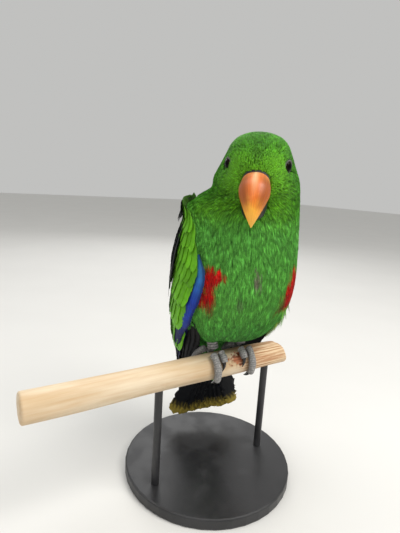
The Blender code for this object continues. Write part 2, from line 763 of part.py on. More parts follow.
def toe_rings(name, toe, first, last, lift, radii, count, drift=0.0):
    """Rings round the perch between two turns, with the outward splay growing along the toe. The last
    ring stands aside by drift."""
    rings = []
    for i, radius in enumerate(radii):
        turn = first + (last - first) * i / (len(radii) - 1)
        share = (turn - toe.start) / (toe.end - toe.start)
        x = FOOT_PLACES[name] + SIDES[name] * (toe.offset + toe.splay * share)
        x += drift * (i / (len(radii) - 1)) ** 2
        ring = []
        for k in range(count):
            roll = 2 * math.pi * k / count
            out = lift + radius * math.sin(roll)
            ring.append(on_perch(x + radius * math.cos(roll), math.radians(turn), out))
        rings.append(ring)
    return rings


def leg_mesh(name, grow=0.0):
    radii = [LEG_RADIUS, LEG_RADIUS, LEG_RADIUS * 1.15, PAD_RADIUS * PAD_FLAT]
    return tube(leg_path(name), radii, SEGMENTS_LEG, grow)


def make_foot(name):
    """The bare shank and, round the perch, two toes ahead and two behind, each with its claw."""
    add_piece(f"leg_{name}", leg_mesh(name), SKIN_GREY)
    for toe in TOES:
        swell = [TOE_SWELL * (1 - math.cos(math.pi * i / 2)) for i in range(TOE_STEPS + 1)]
        radii = [TOE_RADIUS * (1 - s) for s in swell]
        rings = toe_rings(name, toe, toe.start, toe.end, TOE_RADIUS + GAP, radii, SEGMENTS_TOE)
        add_piece(f"toe_{toe.name}_{name}", loft(rings), SKIN_GREY)
        first = toe.end + math.copysign(math.degrees(GAP / PERCH_RADIUS), toe.end)
        radii = [CLAW_RADIUS * (1 - CLAW_TAPER * (i / CLAW_STEPS) ** 1.4) for i in range(CLAW_STEPS + 1)]
        last = first + toe.claw_turn
        rings = toe_rings(
            name, toe, first, last, CLAW_RADIUS + GAP, radii, SEGMENTS_CLAW, toe.claw_drift
        )
        add_piece(f"claw_{toe.name}_{name}", loft(rings), CLAW_BLACK)


# Stand and perch
def cylinder(radius, low, high, x, y, segments):
    shape = bmesh.new()
    bmesh.ops.create_cone(
        shape,
        cap_ends=True,
        segments=segments,
        radius1=radius,
        radius2=radius,
        depth=high - low,
        matrix=Matrix.Translation((x, y, (low + high) / 2)),
    )
    mesh = bpy.data.meshes.new("cylinder")
    shape.to_mesh(mesh)
    shape.free()
    shade(mesh)
    return mesh


def make_stand():
    base = add_piece("stand_base", cylinder(BASE_RADIUS, 0, BASE_THICK, 0, 0, SEGMENTS_BASE), STAND_BLACK)
    bevel = base.modifiers.new("edge", "BEVEL")
    bevel.width = BASE_EDGE
    bevel.segments = 2
    low, high = BASE_THICK + GAP, PERCH_TOP - 2 * PERCH_RADIUS + ROD_SINK
    for name, x in ROD_PLACES.items():
        rod = cylinder(ROD_RADIUS, low, high, x, FEET.y, SEGMENTS_ROD)
        add_piece(f"stand_rod_{name}", rod, STAND_BLACK)


def make_perch():
    """A peeled branch: slightly wavy, with worn edges, cut square at one end and aslant at the other."""
    rings = []
    places = [PERCH_LEFT + (PERCH_RIGHT - PERCH_LEFT) * i / PERCH_STEPS for i in range(PERCH_STEPS + 1)]
    places[1:1] = [PERCH_LEFT + PERCH_EDGE]
    places[-1:-1] = [PERCH_RIGHT - PERCH_EDGE]
    for i, x in enumerate(places):
        worn = PERCH_EDGE if i in (0, len(places) - 1) else 0
        radius = PERCH_RADIUS - worn - PERCH_WAVE * (1 - math.cos((x - FEET.x) / PERCH_WAVE_LENGTH))
        turns = [2 * math.pi * k / SEGMENTS_PERCH for k in range(SEGMENTS_PERCH)]
        middle = Vector((x, FEET.y, PERCH_AXIS_Z))
        slant = PERCH_SLANT / 2 if i > PERCH_STEPS else 0.0
        ring = []
        for a in turns:
            shift = Vector((-slant * (1 + math.cos(a)), math.sin(a) * radius, math.cos(a) * radius))
            ring.append(middle + shift)
        rings.append(ring)
    perch = add_piece("perch", loft(rings), PERCH_WOOD)
    low, high = PERCH_TOP - 3 * PERCH_RADIUS, PERCH_TOP - 2 * PERCH_RADIUS + ROD_SINK + GAP
    holes = [cylinder(ROD_RADIUS + GAP, low, high, x, FEET.y, SEGMENTS_ROD) for x in ROD_PLACES.values()]
    combine(perch, holes, "DIFFERENCE")


def thigh_mesh(name, grow=0.0):
    top, middle = (from_body(ahead, out, up) for ahead, out, up in THIGH_TOPS[name])
    bottom = leg_path(name)[2] + UP * 0.002
    path = [top, middle, middle.lerp(bottom, 0.35), middle.lerp(bottom, 0.7), bottom]
    return tube(path, THIGH_RADII, SEGMENTS_THIGH, grow)


def make_body():
    neck = add_piece("neck", body_mesh(HEAD_END, NECK_END, NECK_STEPS), GREEN)
    combine(neck, [bill_mesh(LOWER_BILL, LOWER_BILL_STEPS, GAP)], "DIFFERENCE")
    combine(neck, [wing_bed(name) for name in SIDES], "DIFFERENCE")
    torso = add_piece("torso", body_mesh(NECK_END, TORSO_END, TORSO_STEPS), GREEN)
    combine(torso, [wing_bed(name) for name in SIDES], "DIFFERENCE")
    combine(torso, [thigh_mesh(name, GAP) for name in SIDES], "DIFFERENCE")
    combine(torso, [leg_mesh(name, GAP) for name in SIDES], "DIFFERENCE")
    for name in SIDES:
        thigh = add_piece(f"thigh_{name}", thigh_mesh(name), GREEN)
        combine(thigh, [leg_mesh(name, GAP)], "DIFFERENCE")


make_head()
make_bill()
make_body()
make_tail()
for side_name in SIDES:
    make_wing(side_name)
    make_foot(side_name)
make_perch()
make_stand()
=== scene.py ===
"""Looks of the life-size model of a male eclectus parrot on its cut length of branch.

Metres, +Z up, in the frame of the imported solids. The plumage is built feather by feather over one skin:
fine strands in tufts on head and body, and full vanes on wings and tail.
"""

import math
from collections import namedtuple

import bpy
import numpy as np
from mathutils import Matrix, Vector
from mathutils.bvhtree import BVHTree
from mathutils.kdtree import KDTree


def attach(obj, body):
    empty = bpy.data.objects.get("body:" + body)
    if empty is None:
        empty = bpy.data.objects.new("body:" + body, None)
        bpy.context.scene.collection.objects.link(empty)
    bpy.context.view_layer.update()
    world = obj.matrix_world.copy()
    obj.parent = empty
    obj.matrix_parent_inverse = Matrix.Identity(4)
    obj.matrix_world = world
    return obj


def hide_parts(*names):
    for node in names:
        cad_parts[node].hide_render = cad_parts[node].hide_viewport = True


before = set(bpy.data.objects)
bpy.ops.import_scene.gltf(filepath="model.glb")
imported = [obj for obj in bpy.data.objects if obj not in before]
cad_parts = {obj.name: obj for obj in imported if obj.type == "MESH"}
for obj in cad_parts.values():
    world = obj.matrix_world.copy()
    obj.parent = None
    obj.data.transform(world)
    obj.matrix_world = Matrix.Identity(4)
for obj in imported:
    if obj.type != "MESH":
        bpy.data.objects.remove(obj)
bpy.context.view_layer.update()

SEED = 7
UP = np.array([0.0, 0.0, 1.0])
SIDES = {"left": 1, "right": -1}

# Perch and stance, as in the solids
PERCH_RADIUS = 0.0122
PERCH_TOP = 0.1245
PERCH_LEFT = -0.172
PERCH_RIGHT = 0.078
PERCH_SLANT = 0.0085
FEET = np.array([0.010, -0.010, PERCH_TOP])
PERCH_AXIS_Z = PERCH_TOP - PERCH_RADIUS
FOOT_PLACES = {"left": 0.0120, "right": -0.0190}
BODY_YAW = math.radians(20)
HEAD_YAW = math.radians(42)
HEAD_BOW = math.radians(19)
EYE_MIDDLE = (0.0281, 0.0023, 0.1663)
EYE_OUT = 0.0257
EYE_AHEAD_SHARE = 0.50
EYE_RADIUS = 0.0062
LID_RADIUS = 0.0050
GAP = 0.0003


def forward_of(yaw):
    """Level direction that faces -Y, turned by yaw towards -X."""
    return np.stack([-np.sin(yaw), -np.cos(yaw), np.zeros_like(yaw)], -1)


def left_of(yaw):
    return np.stack([np.cos(yaw), -np.sin(yaw), np.zeros_like(yaw)], -1)


def tilted(yaw, lean):
    """Forward and upward directions once the upward one leans ahead."""
    ahead, lean = forward_of(yaw), np.asarray(lean)[..., None]
    return ahead * np.cos(lean) - UP * np.sin(lean), ahead * np.sin(lean) + UP * np.cos(lean)


BODY_FORWARD = forward_of(np.float64(BODY_YAW))
BODY_LEFT = left_of(np.float64(BODY_YAW))
HEAD_FORWARD, HEAD_UP = tilted(np.float64(HEAD_YAW), np.float64(HEAD_BOW))
HEAD_LEFT = left_of(np.float64(HEAD_YAW))


def from_body(ahead, left, up):
    """World point in the body's own directions, measured from the feet."""
    return FEET + BODY_FORWARD * ahead + BODY_LEFT * left + UP * up


def in_body(points):
    """The body's own coordinates of world points: ahead, left, up."""
    shift = points - FEET
    return np.stack([shift @ BODY_FORWARD, shift @ BODY_LEFT, shift[..., 2]], -1)


EYE_MIDDLE_POINT = from_body(*EYE_MIDDLE)


def from_head(ahead, left, up):
    """World point in the head's own directions, measured from midway between the eyes."""
    return EYE_MIDDLE_POINT + HEAD_FORWARD * ahead + HEAD_LEFT * left + HEAD_UP * up


def in_head(points):
    shift = points - EYE_MIDDLE_POINT
    return np.stack([shift @ HEAD_FORWARD, shift @ HEAD_LEFT, shift @ HEAD_UP], -1)


def head_station(ahead, up, width, front, back, front_power=2.0, right=0.0):
    centre = from_head(ahead, 0, up)
    return (*centre, HEAD_YAW, HEAD_BOW, width, front, back, front_power, right)


def body_station(ahead, left, up, yaw, lean, width, front, back, front_power=2.0, right=0.0):
    centre = from_body(ahead, left, up)
    return (*centre, math.radians(yaw), math.radians(lean), width, front, back, front_power, right)


# Cross sections of the feathered body from crown to tail root: centre, half width, depth to the front
# and to the back, how square the front is, and how much wider the bird's right side is
BODY_STATIONS = [
    head_station(-0.0085, 0.0238, 0.0006, 0.0006, 0.0006),
    head_station(-0.0085, 0.0229, 0.0088, 0.0092, 0.0084),
    head_station(-0.0095, 0.0195, 0.0176, 0.0177, 0.0162, 1.9),
    head_station(-0.0110, 0.0135, 0.0234, 0.0262, 0.0222, 1.7),
    head_station(-0.0130, 0.0050, 0.0271, 0.0345, 0.0240, 1.5, 0.0004),
    head_station(-0.0140, -0.0050, 0.0310, 0.0370, 0.0248, 1.45, 0.0014),
    head_station(-0.0135, -0.0150, 0.0350, 0.0320, 0.0260, 1.6, 0.0024),
    head_station(-0.0120, -0.0250, 0.0366, 0.0220, 0.0292, 1.9, 0.0028),
    body_station(0.0095, 0.0096, 0.136, 34, 18, 0.0382, 0.0255, 0.0322, 2.0, 0.0145),
    body_station(0.0075, 0.0082, 0.122, 27, 18, 0.0418, 0.0305, 0.0355, 2.0, 0.0098),
    body_station(0.0050, 0.0065, 0.106, 22, 20, 0.0455, 0.0365, 0.0360, 2.1, 0.0078),
    body_station(0.0040, 0.0050, 0.088, 20, 22, 0.0472, 0.0415, 0.0385, 2.2, 0.0066),
    body_station(0.0010, 0.0040, 0.068, 20, 22, 0.0487, 0.0420, 0.0395, 2.2, 0.0052),
    body_station(-0.0040, 0.0030, 0.048, 20, 24, 0.0462, 0.0390, 0.0380, 2.2, 0.0060),
    body_station(-0.0120, 0.0015, 0.029, 20, 28, 0.0386, 0.0315, 0.0320, 2.1, 0.0070),
    body_station(-0.0250, 0.0000, 0.017, 20, 34, 0.0310, 0.0150, 0.0235, 2.0, 0.0030),
    body_station(-0.0375, -0.0015, 0.000, 20, 32, 0.0230, 0.0080, 0.0150),
    body_station(-0.0430, -0.0025, -0.016, 20, 26, 0.0155, 0.0080, 0.0100),
    body_station(-0.0460, -0.0030, -0.030, 20, 18, 0.0120, 0.0050, 0.0060),
]
HEAD_END = 7.5
COAT_END = 17.6
BODY_END = 18.0

# The surface that the folded wings lie on
WING_STATIONS = [
    body_station(0.0080, 0.0088, 0.134, 30, 18, 0.0390, 0.0280, 0.0350, 2.0, 0.0185),
    body_station(0.0060, 0.0080, 0.124, 24, 18, 0.0436, 0.0335, 0.0380, 2.0, 0.0112),
    body_station(0.0050, 0.0065, 0.106, 22, 20, 0.0483, 0.0385, 0.0390, 2.1, 0.0082),
    body_station(0.0040, 0.0050, 0.088, 20, 22, 0.0508, 0.0435, 0.0420, 2.2, 0.0067),
    body_station(0.0010, 0.0040, 0.068, 20, 22, 0.0520, 0.0440, 0.0430, 2.2, 0.0057),
    body_station(-0.0040, 0.0030, 0.048, 20, 22, 0.0512, 0.0410, 0.0425, 2.2, 0.0061),
    body_station(-0.0130, 0.0020, 0.028, 20, 22, 0.0486, 0.0350, 0.0390, 2.0, 0.0060),
    body_station(-0.0220, 0.0005, 0.008, 20, 20, 0.0452, 0.0280, 0.0345, 2.0, 0.0039),
    body_station(-0.0360, -0.0015, -0.015, 20, 20, 0.0390, 0.0180, 0.0235, 2.0, 0.0016),
    body_station(-0.0520, -0.0030, -0.038, 20, 18, 0.0310, 0.0090, 0.0120, 2.0, 0.0008),
    body_station(-0.0655, -0.0040, -0.062, 20, 16, 0.0230, 0.0040, 0.0085),
]
WING_FRONT_ANGLES = {
    "right": [100, 68, 54, 46, 48, 48, 50, 55, 66, 88, 122],
    "left": [104, 92, 88, 88, 90, 92, 96, 98, 100, 104, 122],
}
WING_BACK_ANGLES = [118, 134, 146, 152, 157, 160, 162, 161, 158, 156, 162]
WING_HUG = {
    "right": [-0.0012] * 11,
    "left": [0.0035, 0.0035, 0.0035, 0.0035, 0.0032, 0.0020, 0.0005, 0, 0, 0, 0],
}
WING_ARM = (0.4, 5.9)

# Thighs and shanks
THIGH_TOPS = {
    "left": [(0.009, 0.0270, 0.054), (0.009, 0.0275, 0.041)],
    "right": [(0.010, -0.0225, 0.054), (0.010, -0.0230, 0.041)],
}
THIGH_RADII = (0.0115, 0.0175, 0.0165, 0.0125, 0.0070)
LEG_RADIUS = 0.0042
PAD_RADIUS = 0.0062
PAD_FLAT = 0.8
LEG_JOINTS = [(0.0020, 0.0060, 0.0250), (0.0012, 0.0035, 0.0140), (0.0004, 0.0010, 0.0060), (0, 0, 0)]


def smooth_rows(rows, place):
    """Catmull-Rom curve through equally spaced rows, read at fractional indices."""
    rows = np.asarray(rows, float)
    place = np.clip(np.asarray(place, float), 0, len(rows) - 1)
    first = np.minimum(place.astype(int), len(rows) - 2)
    part = place - first
    if rows.ndim > 1:
        part = part[..., None]
    a, b, c, d = (rows[np.clip(first + k, 0, len(rows) - 1)] for k in (-1, 0, 1, 2))
    bend = (2 * a - 5 * b + 4 * c - d) * part**2 + (3 * b - a - 3 * c + d) * part**3
    return 0.5 * (2 * b + (c - a) * part + bend)


def signed_power(value, power):
    return np.sign(value) * np.abs(value) ** power


def section_point(stations, place, angle, lift=0.0):
    """Points of cross sections: angle 0 is the front, and a positive one runs to the left."""
    place, angle, lift = np.broadcast_arrays(np.asarray(place, float), angle, lift)
    value = smooth_rows(stations, place)
    centre, yaw, lean, width, front, back, front_power, right = (
        value[..., :3],
        *(value[..., k] for k in range(3, 10)),
    )
    ahead, _ = tilted(yaw, lean)
    across, along = np.sin(angle), np.cos(angle)
    power = np.where(along > 0, front_power, 2.0)
    x = signed_power(across, 2 / power) * (width + np.where(across < 0, right, 0.0) + lift)
    y = signed_power(along, 2 / power) * (np.where(along > 0, front, back) + lift)
    return centre + left_of(yaw) * x[..., None] + ahead * y[..., None]


def wing_point(name, place, share, lift=0.0):
    """Points of the surface that a folded wing lies on, from its front edge to its back one."""
    front = smooth_rows(WING_FRONT_ANGLES[name], place)
    back = smooth_rows(WING_BACK_ANGLES, place)
    angle = np.radians(front + (back - front) * share) * SIDES[name]
    return section_point(WING_STATIONS, place, angle, lift - smooth_rows(WING_HUG[name], place))


def full_turn(count):
    """Evenly spaced angles once round."""
    return np.linspace(0, 2 * math.pi, count, endpoint=False)


def blend(first, second, share):
    return first + (second - first) * share


def unit(vectors):
    return vectors / np.maximum(np.linalg.norm(vectors, axis=-1, keepdims=True), 1e-9)


def wing_normal(name, place, share):
    along = wing_point(name, place + 0.05, share) - wing_point(name, place - 0.05, share)
    around = wing_point(name, place, share + 0.02) - wing_point(name, place, share - 0.02)
    return unit(np.cross(along, around)) * SIDES[name]


def ease(value, low, high):
    """0 below low, 1 above high, smooth between."""
    t = np.clip((value - low) / (high - low), 0, 1)
    return t * t * (3 - 2 * t)


def rgb(red, green, blue):
    """A colour as seen, 0 to 255, as linear light."""
    seen = np.array([red, green, blue]) / 255
    return np.where(seen > 0.04045, ((seen + 0.055) / 1.055) ** 2.4, seen / 12.92)


# Meshes
def mesh_of(name, points, faces):
    """A mesh from an array of points and one of faces that all have as many corners."""
    points, faces = np.asarray(points, np.float32), np.asarray(faces, np.int32)
    mesh = bpy.data.meshes.new(name)
    mesh.vertices.add(len(points))
    mesh.vertices.foreach_set("co", points.ravel())
    mesh.loops.add(faces.size)
    mesh.loops.foreach_set("vertex_index", faces.ravel())
    mesh.polygons.add(len(faces))
    mesh.polygons.foreach_set("loop_start", np.arange(0, faces.size, faces.shape[1], dtype=np.int32))
    mesh.update(calc_edges=True)
    mesh.validate()
    return mesh


def placed(name, data):
    """An object of the scene that holds a mesh, a lamp or the lens."""
    obj = bpy.data.objects.new(name, data)
    bpy.context.scene.collection.objects.link(obj)
    return obj


def piece(name, mesh, finish):
    """A visible piece that rides on the model's one body."""
    obj = placed(name, mesh)
    mesh.materials.clear()
    mesh.materials.append(finish)
    mesh.shade_smooth()
    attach(obj, "root")
    return obj


def paint(mesh, name, colours):
    """Stores a colour at each vertex."""
    layer = mesh.attributes.new(name, "FLOAT_COLOR", "POINT")
    values = np.ones((len(mesh.vertices), 4), np.float32)
    values[:, :3] = colours
    layer.data.foreach_set("color", values.ravel())


def mark(mesh, name, vectors):
    """Stores a vector at each vertex."""
    layer = mesh.attributes.new(name, "FLOAT_VECTOR", "POINT")
    layer.data.foreach_set("vector", np.asarray(vectors, np.float32).ravel())


def unwrap(mesh, places):
    """The map that colours are baked on, from a place for each vertex."""
    corner = np.zeros(len(mesh.loops), np.int32)
    mesh.loops.foreach_get("vertex_index", corner)
    layer = mesh.uv_layers.new(name="OFBake")
    layer.data.foreach_set("uv", np.asarray(places, np.float32)[corner].ravel())


def grid_faces(rows, columns, closed=False):
    """Quads over a grid of points, closed round its columns or not."""
    r, c = np.meshgrid(np.arange(rows - 1), np.arange(columns if closed else columns - 1), indexing="ij")
    after = (c + 1) % columns
    here, below = r * columns, (r + 1) * columns
    quads = np.stack([here + c, here + after, below + after, below + c], -1)
    return quads.reshape(-1, 4)


def split_quads(quads):
    return np.concatenate([quads[:, [0, 1, 2]], quads[:, [0, 2, 3]]])


def loft(rings):
    """Points and triangles of a closed body through rings of points."""
    rings = np.asarray(rings, float)
    rows, columns = rings.shape[:2]
    points = rings.reshape(-1, 3)
    triangles = split_quads(grid_faces(rows, columns, True))
    around = np.arange(columns)
    first, last = len(points), len(points) + 1
    ends = [np.stack([np.full(columns, first), (around + 1) % columns, around], 1)]
    base = (rows - 1) * columns
    ends.append(np.stack([np.full(columns, last), base + around, base + (around + 1) % columns], 1))
    points = np.concatenate([points, rings[0].mean(0)[None], rings[-1].mean(0)[None]])
    triangles = np.concatenate([triangles, *ends])
    corners = points[triangles]
    if np.einsum("ij,ij->i", corners[:, 0], np.cross(corners[:, 1], corners[:, 2])).sum() < 0:
        triangles = triangles[:, ::-1]
    return points, triangles


def joined(parts):
    """One array of points and one of faces from several."""
    points, faces, start = [], [], 0
    for part_points, part_faces in parts:
        points.append(part_points)
        faces.append(part_faces + start)
        start += len(part_points)
    return np.concatenate(points), np.concatenate(faces)


# Materials
def node(tree, kind, inputs=(), **settings):
    """A shader node, with values or links for its inputs."""
    made = tree.nodes.new(kind)
    for key, value in settings.items():
        setattr(made, key, value)
    for key, value in dict(inputs).items():
        if isinstance(value, bpy.types.NodeSocket):
            tree.links.new(value, made.inputs[key])
        else:
            made.inputs[key].default_value = value
    return made


def material(name):
    """An empty node material, its tree and its shader."""
    made = bpy.data.materials.new(name)
    made.use_nodes = True
    tree = made.node_tree
    return made, tree, tree.nodes["Principled BSDF"]


def set_shader(tree, shader, **values):
    """Sets or links the shader's sockets, named with underscores for spaces."""
    for key, value in values.items():
        socket = shader.inputs[key.replace("_", " ")]
        if isinstance(value, bpy.types.NodeSocket):
            tree.links.new(value, socket)
        else:
            socket.default_value = value


def attribute(tree, name, output="Vector"):
    return node(tree, "ShaderNodeAttribute", attribute_name=name).outputs[output]


def axes(tree, vector):
    """The three numbers of a vector."""
    return node(tree, "ShaderNodeSeparateXYZ", {0: vector}).outputs


def object_place(tree):
    return node(tree, "ShaderNodeTexCoord").outputs["Object"]


def math_node(tree, operation, first, second):
    return node(tree, "ShaderNodeMath", {0: first, 1: second}, operation=operation).outputs[0]


def product(tree, value, *factors):
    for factor in factors:
        value = math_node(tree, "MULTIPLY", value, factor)
    return value


def between(tree, value, low, high, to_low=0.0, to_high=1.0):
    """Maps low..high to to_low..to_high, smoothly and held at the ends."""
    inputs = {0: value, 1: low, 2: high, 3: to_low, 4: to_high}
    return node(tree, "ShaderNodeMapRange", inputs, interpolation_type="SMOOTHSTEP").outputs[0]


def mixed(tree, share, first, second):
    made = node(tree, "ShaderNodeMix", data_type="RGBA")
    for index, value in ((0, share), (6, first), (7, second)):
        if isinstance(value, bpy.types.NodeSocket):
            tree.links.new(value, made.inputs[index])
        else:
            made.inputs[index].default_value = value if index == 0 else (*value, 1)
    return made.outputs[2]


def scaled(tree, colour, factor):
    """A colour made brighter or darker by a factor socket."""
    return node(tree, "ShaderNodeVectorMath", {0: colour, 3: factor}, operation="SCALE").outputs[0]


def noise(tree, scale, detail=3.0, vector=None, roughness=0.5):
    if vector is None:
        vector = object_place(tree)
    values = {"Vector": vector, "Scale": scale, "Detail": detail, "Roughness": roughness}
    return node(tree, "ShaderNodeTexNoise", values).outputs[0]


def stretched(tree, vector, scale):
    return node(tree, "ShaderNodeMapping", {"Vector": vector, "Scale": scale}).outputs[0]


def bumped(tree, height, distance):
    inputs = {"Height": height, "Distance": distance, "Strength": 1.0}
    return node(tree, "ShaderNodeBump", inputs).outputs[0]


def grains(tree, scale):
    """Small rounded bumps, 1 at their middles."""
    inputs = {"Vector": object_place(tree), "Scale": scale}
    cells = node(tree, "ShaderNodeTexVoronoi", inputs).outputs["Distance"]
    return between(tree, cells, 0.0, 0.6, 1.0, 0.0)


def plumage_material(name, roughness, sheen, barbs, barb_depth):
    """Feather colour from each vertex, with fine streaks along the barbs and painted shade that darkens each
    root.
    """
    made, tree, shader = material(name)
    blade = attribute(tree, "blade")
    parts = axes(tree, blade)
    streak = noise(tree, 1.0, 4.0, stretched(tree, blade, (barbs, barbs * 0.12, 37.0)))
    mottle = noise(tree, 190.0, 2.0)
    shade = product(
        tree,
        between(tree, streak, 0.25, 0.75, 0.78, 1.22),
        between(tree, mottle, 0.3, 0.7, 0.88, 1.12),
        # Painted shade: each strand or vane darker towards its root, where it lies under other feathers
        between(tree, parts[1], 0.0, 0.5, 0.62, 1.0),
    )
    colour = scaled(tree, attribute(tree, "tint", "Color"), shade)
    set_shader(tree, shader, Base_Color=colour, Roughness=roughness, Sheen_Weight=sheen)
    set_shader(tree, shader, Sheen_Roughness=0.45, Specular_IOR_Level=0.2)
    set_shader(tree, shader, Normal=bumped(tree, streak, barb_depth))
    return made


DOWN = plumage_material("soft_plumage", 0.62, 0.03, 9.0, 0.00008)
VANE = plumage_material("vane_plumage", 0.55, 0.03, 26.0, 0.00014)


def skin_material():
    """The skin under the plumage: its colours, broken by the feathers' streaks down the body."""
    made, tree, shader = material("skin_plumage")
    blade = attribute(tree, "blade")
    streak = noise(tree, 1.0, 5.0, stretched(tree, blade, (260.0, 26.0, 1.0)))
    shade = between(tree, streak, 0.3, 0.7, 0.55, 1.0)
    colour = scaled(tree, attribute(tree, "tint", "Color"), shade)
    set_shader(tree, shader, Base_Color=colour, Roughness=0.8, Sheen_Weight=0.1, Specular_IOR_Level=0.2)
    set_shader(tree, shader, Normal=bumped(tree, streak, 0.0006))
    return made


# Markings
GREENS = {
    "crown": rgb(82, 156, 30),
    "face": rgb(106, 178, 28),
    "nape": rgb(62, 148, 30),
    "breast": rgb(104, 188, 74),
    "belly": rgb(86, 178, 70),
    "back": rgb(52, 138, 32),
    "wing": rgb(104, 180, 28),
}
RED = rgb(214, 18, 12)
RED_BROWN = rgb(128, 58, 22)
PARTING = rgb(142, 122, 118)
CREAM = rgb(222, 214, 150)
BLUE_LIGHT = rgb(60, 132, 190)
BLUE = rgb(20, 54, 156)
NAVY = rgb(8, 18, 74)
INK = rgb(14, 16, 20)
TAIL_YELLOW = rgb(176, 156, 66)

# Spots of other colours on the flanks and breast: centre and reach ahead, left and up in the body's own
# directions, colour, and how full it is
SPOTS = [
    ((0.0270, -0.0300, 0.0830), (0.0140, 0.0105, 0.0110), RED, 1.0),
    ((0.0285, -0.0345, 0.0690), (0.0120, 0.0085, 0.0085), RED, 1.0),
    ((0.0230, 0.0450, 0.0830), (0.0150, 0.0110, 0.0100), RED, 1.0),
    ((0.0270, 0.0410, 0.0700), (0.0150, 0.0090, 0.0120), RED, 1.0),
    ((0.0300, -0.0285, 0.0610), (0.0060, 0.0045, 0.0060), RED_BROWN, 0.9),
    ((0.0350, 0.0340, 0.0610), (0.0070, 0.0060, 0.0080), RED_BROWN, 0.7),
    ((0.0265, -0.0345, 0.0600), (0.0040, 0.0022, 0.0026), CREAM, 0.9),
    ((0.0420, 0.0050, 0.0870), (0.0060, 0.0026, 0.0120), PARTING, 0.8),
    ((0.0410, -0.0075, 0.0640), (0.0060, 0.0040, 0.0050), PARTING * 0.6, 0.45),
]


def plumage_colour(points):
    """The colour of the coat by the place of a feather's root."""
    ahead, left, up = np.moveaxis(in_body(points), -1, 0)
    head_ahead, head_left, head_up = np.moveaxis(in_head(points), -1, 0)
    front = ease(ahead + 0.15 * (up - 0.08), -0.005, 0.022)[..., None]
    colour = blend(GREENS["back"], GREENS["breast"], front)
    low = ease(-up, -0.060, -0.020)[..., None]
    colour = colour + (GREENS["belly"] - colour) * low * front
    high = ease(up, 0.118, 0.142)[..., None]
    neck = blend(GREENS["nape"], GREENS["crown"], ease(head_ahead, -0.030, 0.0)[..., None])
    colour = blend(colour, neck, high)
    face = ease(head_ahead, -0.004, 0.012) * ease(-head_up, -0.020, -0.004) * high[..., 0]
    colour = blend(colour, GREENS["face"], face[..., None])
    stripe = ease(-np.abs(head_left), -0.010, -0.002) * ease(head_up, 0.0, 0.012) * high[..., 0]
    colour = colour * (1 - 0.28 * stripe[..., None])
    return colour


def spotted(points, colour, draw):
    """Adds the spots, with ragged edges drawn feather by feather."""
    place = in_body(points)
    for centre, reach, spot, fullness in SPOTS:
        distance = np.linalg.norm((place - centre) / reach, axis=-1)
        distance = distance + draw.normal(0, 0.10, distance.shape)
        share = (1 - ease(distance, 0.82, 1.05)) * fullness
        colour = blend(colour, spot, share[..., None])
    return colour


# The form that the coat lies on
def tube(path, radii, count):
    """Rings round a path."""
    path = np.asarray(path, float)
    along = unit(np.gradient(path, axis=0))
    across = unit(np.array([1.0, 0, 0]) - along * along[:, :1])
    upward = np.cross(along, across)
    turn = full_turn(count)
    spokes = across[:, None] * np.cos(turn)[:, None] + upward[:, None] * np.sin(turn)[:, None]
    return path[:, None] + spokes * np.asarray(radii, float)[:, None, None]


def on_perch(x, turn, lift):
    """Points over the perch's surface: turn 0 is the top, and a positive one runs down the front."""
    x, turn, lift = np.broadcast_arrays(np.asarray(x, float), turn, lift)
    reach = PERCH_RADIUS + lift
    return np.stack(
        [FEET[0] + x, FEET[1] - np.sin(turn) * reach, PERCH_AXIS_Z + np.cos(turn) * reach], -1
    )


def leg_path(name):
    foot = on_perch(FOOT_PLACES[name], 0.0, PAD_RADIUS * PAD_FLAT + GAP)
    return np.array([foot + np.array([SIDES[name] * out, back, rise]) for out, back, rise in LEG_JOINTS])


def thigh_path(name):
    top, middle = (from_body(*place) for place in THIGH_TOPS[name])
    bottom = leg_path(name)[2] + UP * 0.002
    step = bottom - middle
    return np.array([top, middle, middle + step * 0.35, middle + step * 0.7, bottom])


def body_rings(rows, columns, lift):
    place = np.linspace(0, BODY_END, rows)[:, None]
    angle = full_turn(columns)[None]
    return section_point(BODY_STATIONS, place, angle, lift(place) if callable(lift) else lift)


def wing_arm(name, lift, thick, rows=40, columns=30):
    """The closed slab of the wing's arm."""
    place = np.linspace(*WING_ARM, rows)[:, None]
    share = np.linspace(0.04, 0.96, columns)[None]
    outer = wing_point(name, place, share, lift)
    inner = wing_point(name, place, share, lift - thick)
    ring = np.concatenate([outer, inner[:, ::-1]], axis=1)
    return loft(ring)


def fused(name, parts, voxel, smoothing):
    """One closed surface round several closed ones."""
    points, faces = joined(parts)
    obj = placed(name, mesh_of(name, points, faces))
    remesh = obj.modifiers.new("fuse", "REMESH")
    remesh.mode = "VOXEL"
    remesh.voxel_size = voxel
    soften = obj.modifiers.new("soften", "SMOOTH")
    soften.factor = 0.5
    soften.iterations = smoothing
    graph = bpy.context.evaluated_depsgraph_get()
    mesh = bpy.data.meshes.new_from_object(obj.evaluated_get(graph))
    bpy.data.objects.remove(obj)
    return mesh


def body_parts(lift):
    """Body, thighs and the wings' arms, each moved out by lift."""
    parts = [loft(body_rings(150, 96, lift))]
    for name in SIDES:
        parts.append(loft(tube(thigh_path(name), np.array(THIGH_RADII) + lift, 24)))
        parts.append(wing_arm(name, lift - 0.0004, 0.0060))
    return parts


def read_mesh(mesh):
    """Points, face centres and face normals of a mesh."""
    found = []
    for items, key in ((mesh.vertices, "co"), (mesh.polygons, "center"), (mesh.polygons, "normal")):
        values = np.zeros(len(items) * 3, np.float32)
        items.foreach_get(key, values)
        found.append(values.reshape(-1, 3))
    points, centres, normals = found
    return points, centres.astype(float), normals.astype(float)


FORM_DEPTH = 0.0006
FORM_VOXEL = 0.0012
FORM = fused("form", body_parts(-FORM_DEPTH), FORM_VOXEL, 3)
FORM_POINTS, FORM_CENTRES, FORM_NORMALS = read_mesh(FORM)
FORM_TREE = BVHTree.FromPolygons([Vector(p) for p in FORM_POINTS], [tuple(f.vertices) for f in FORM.polygons])

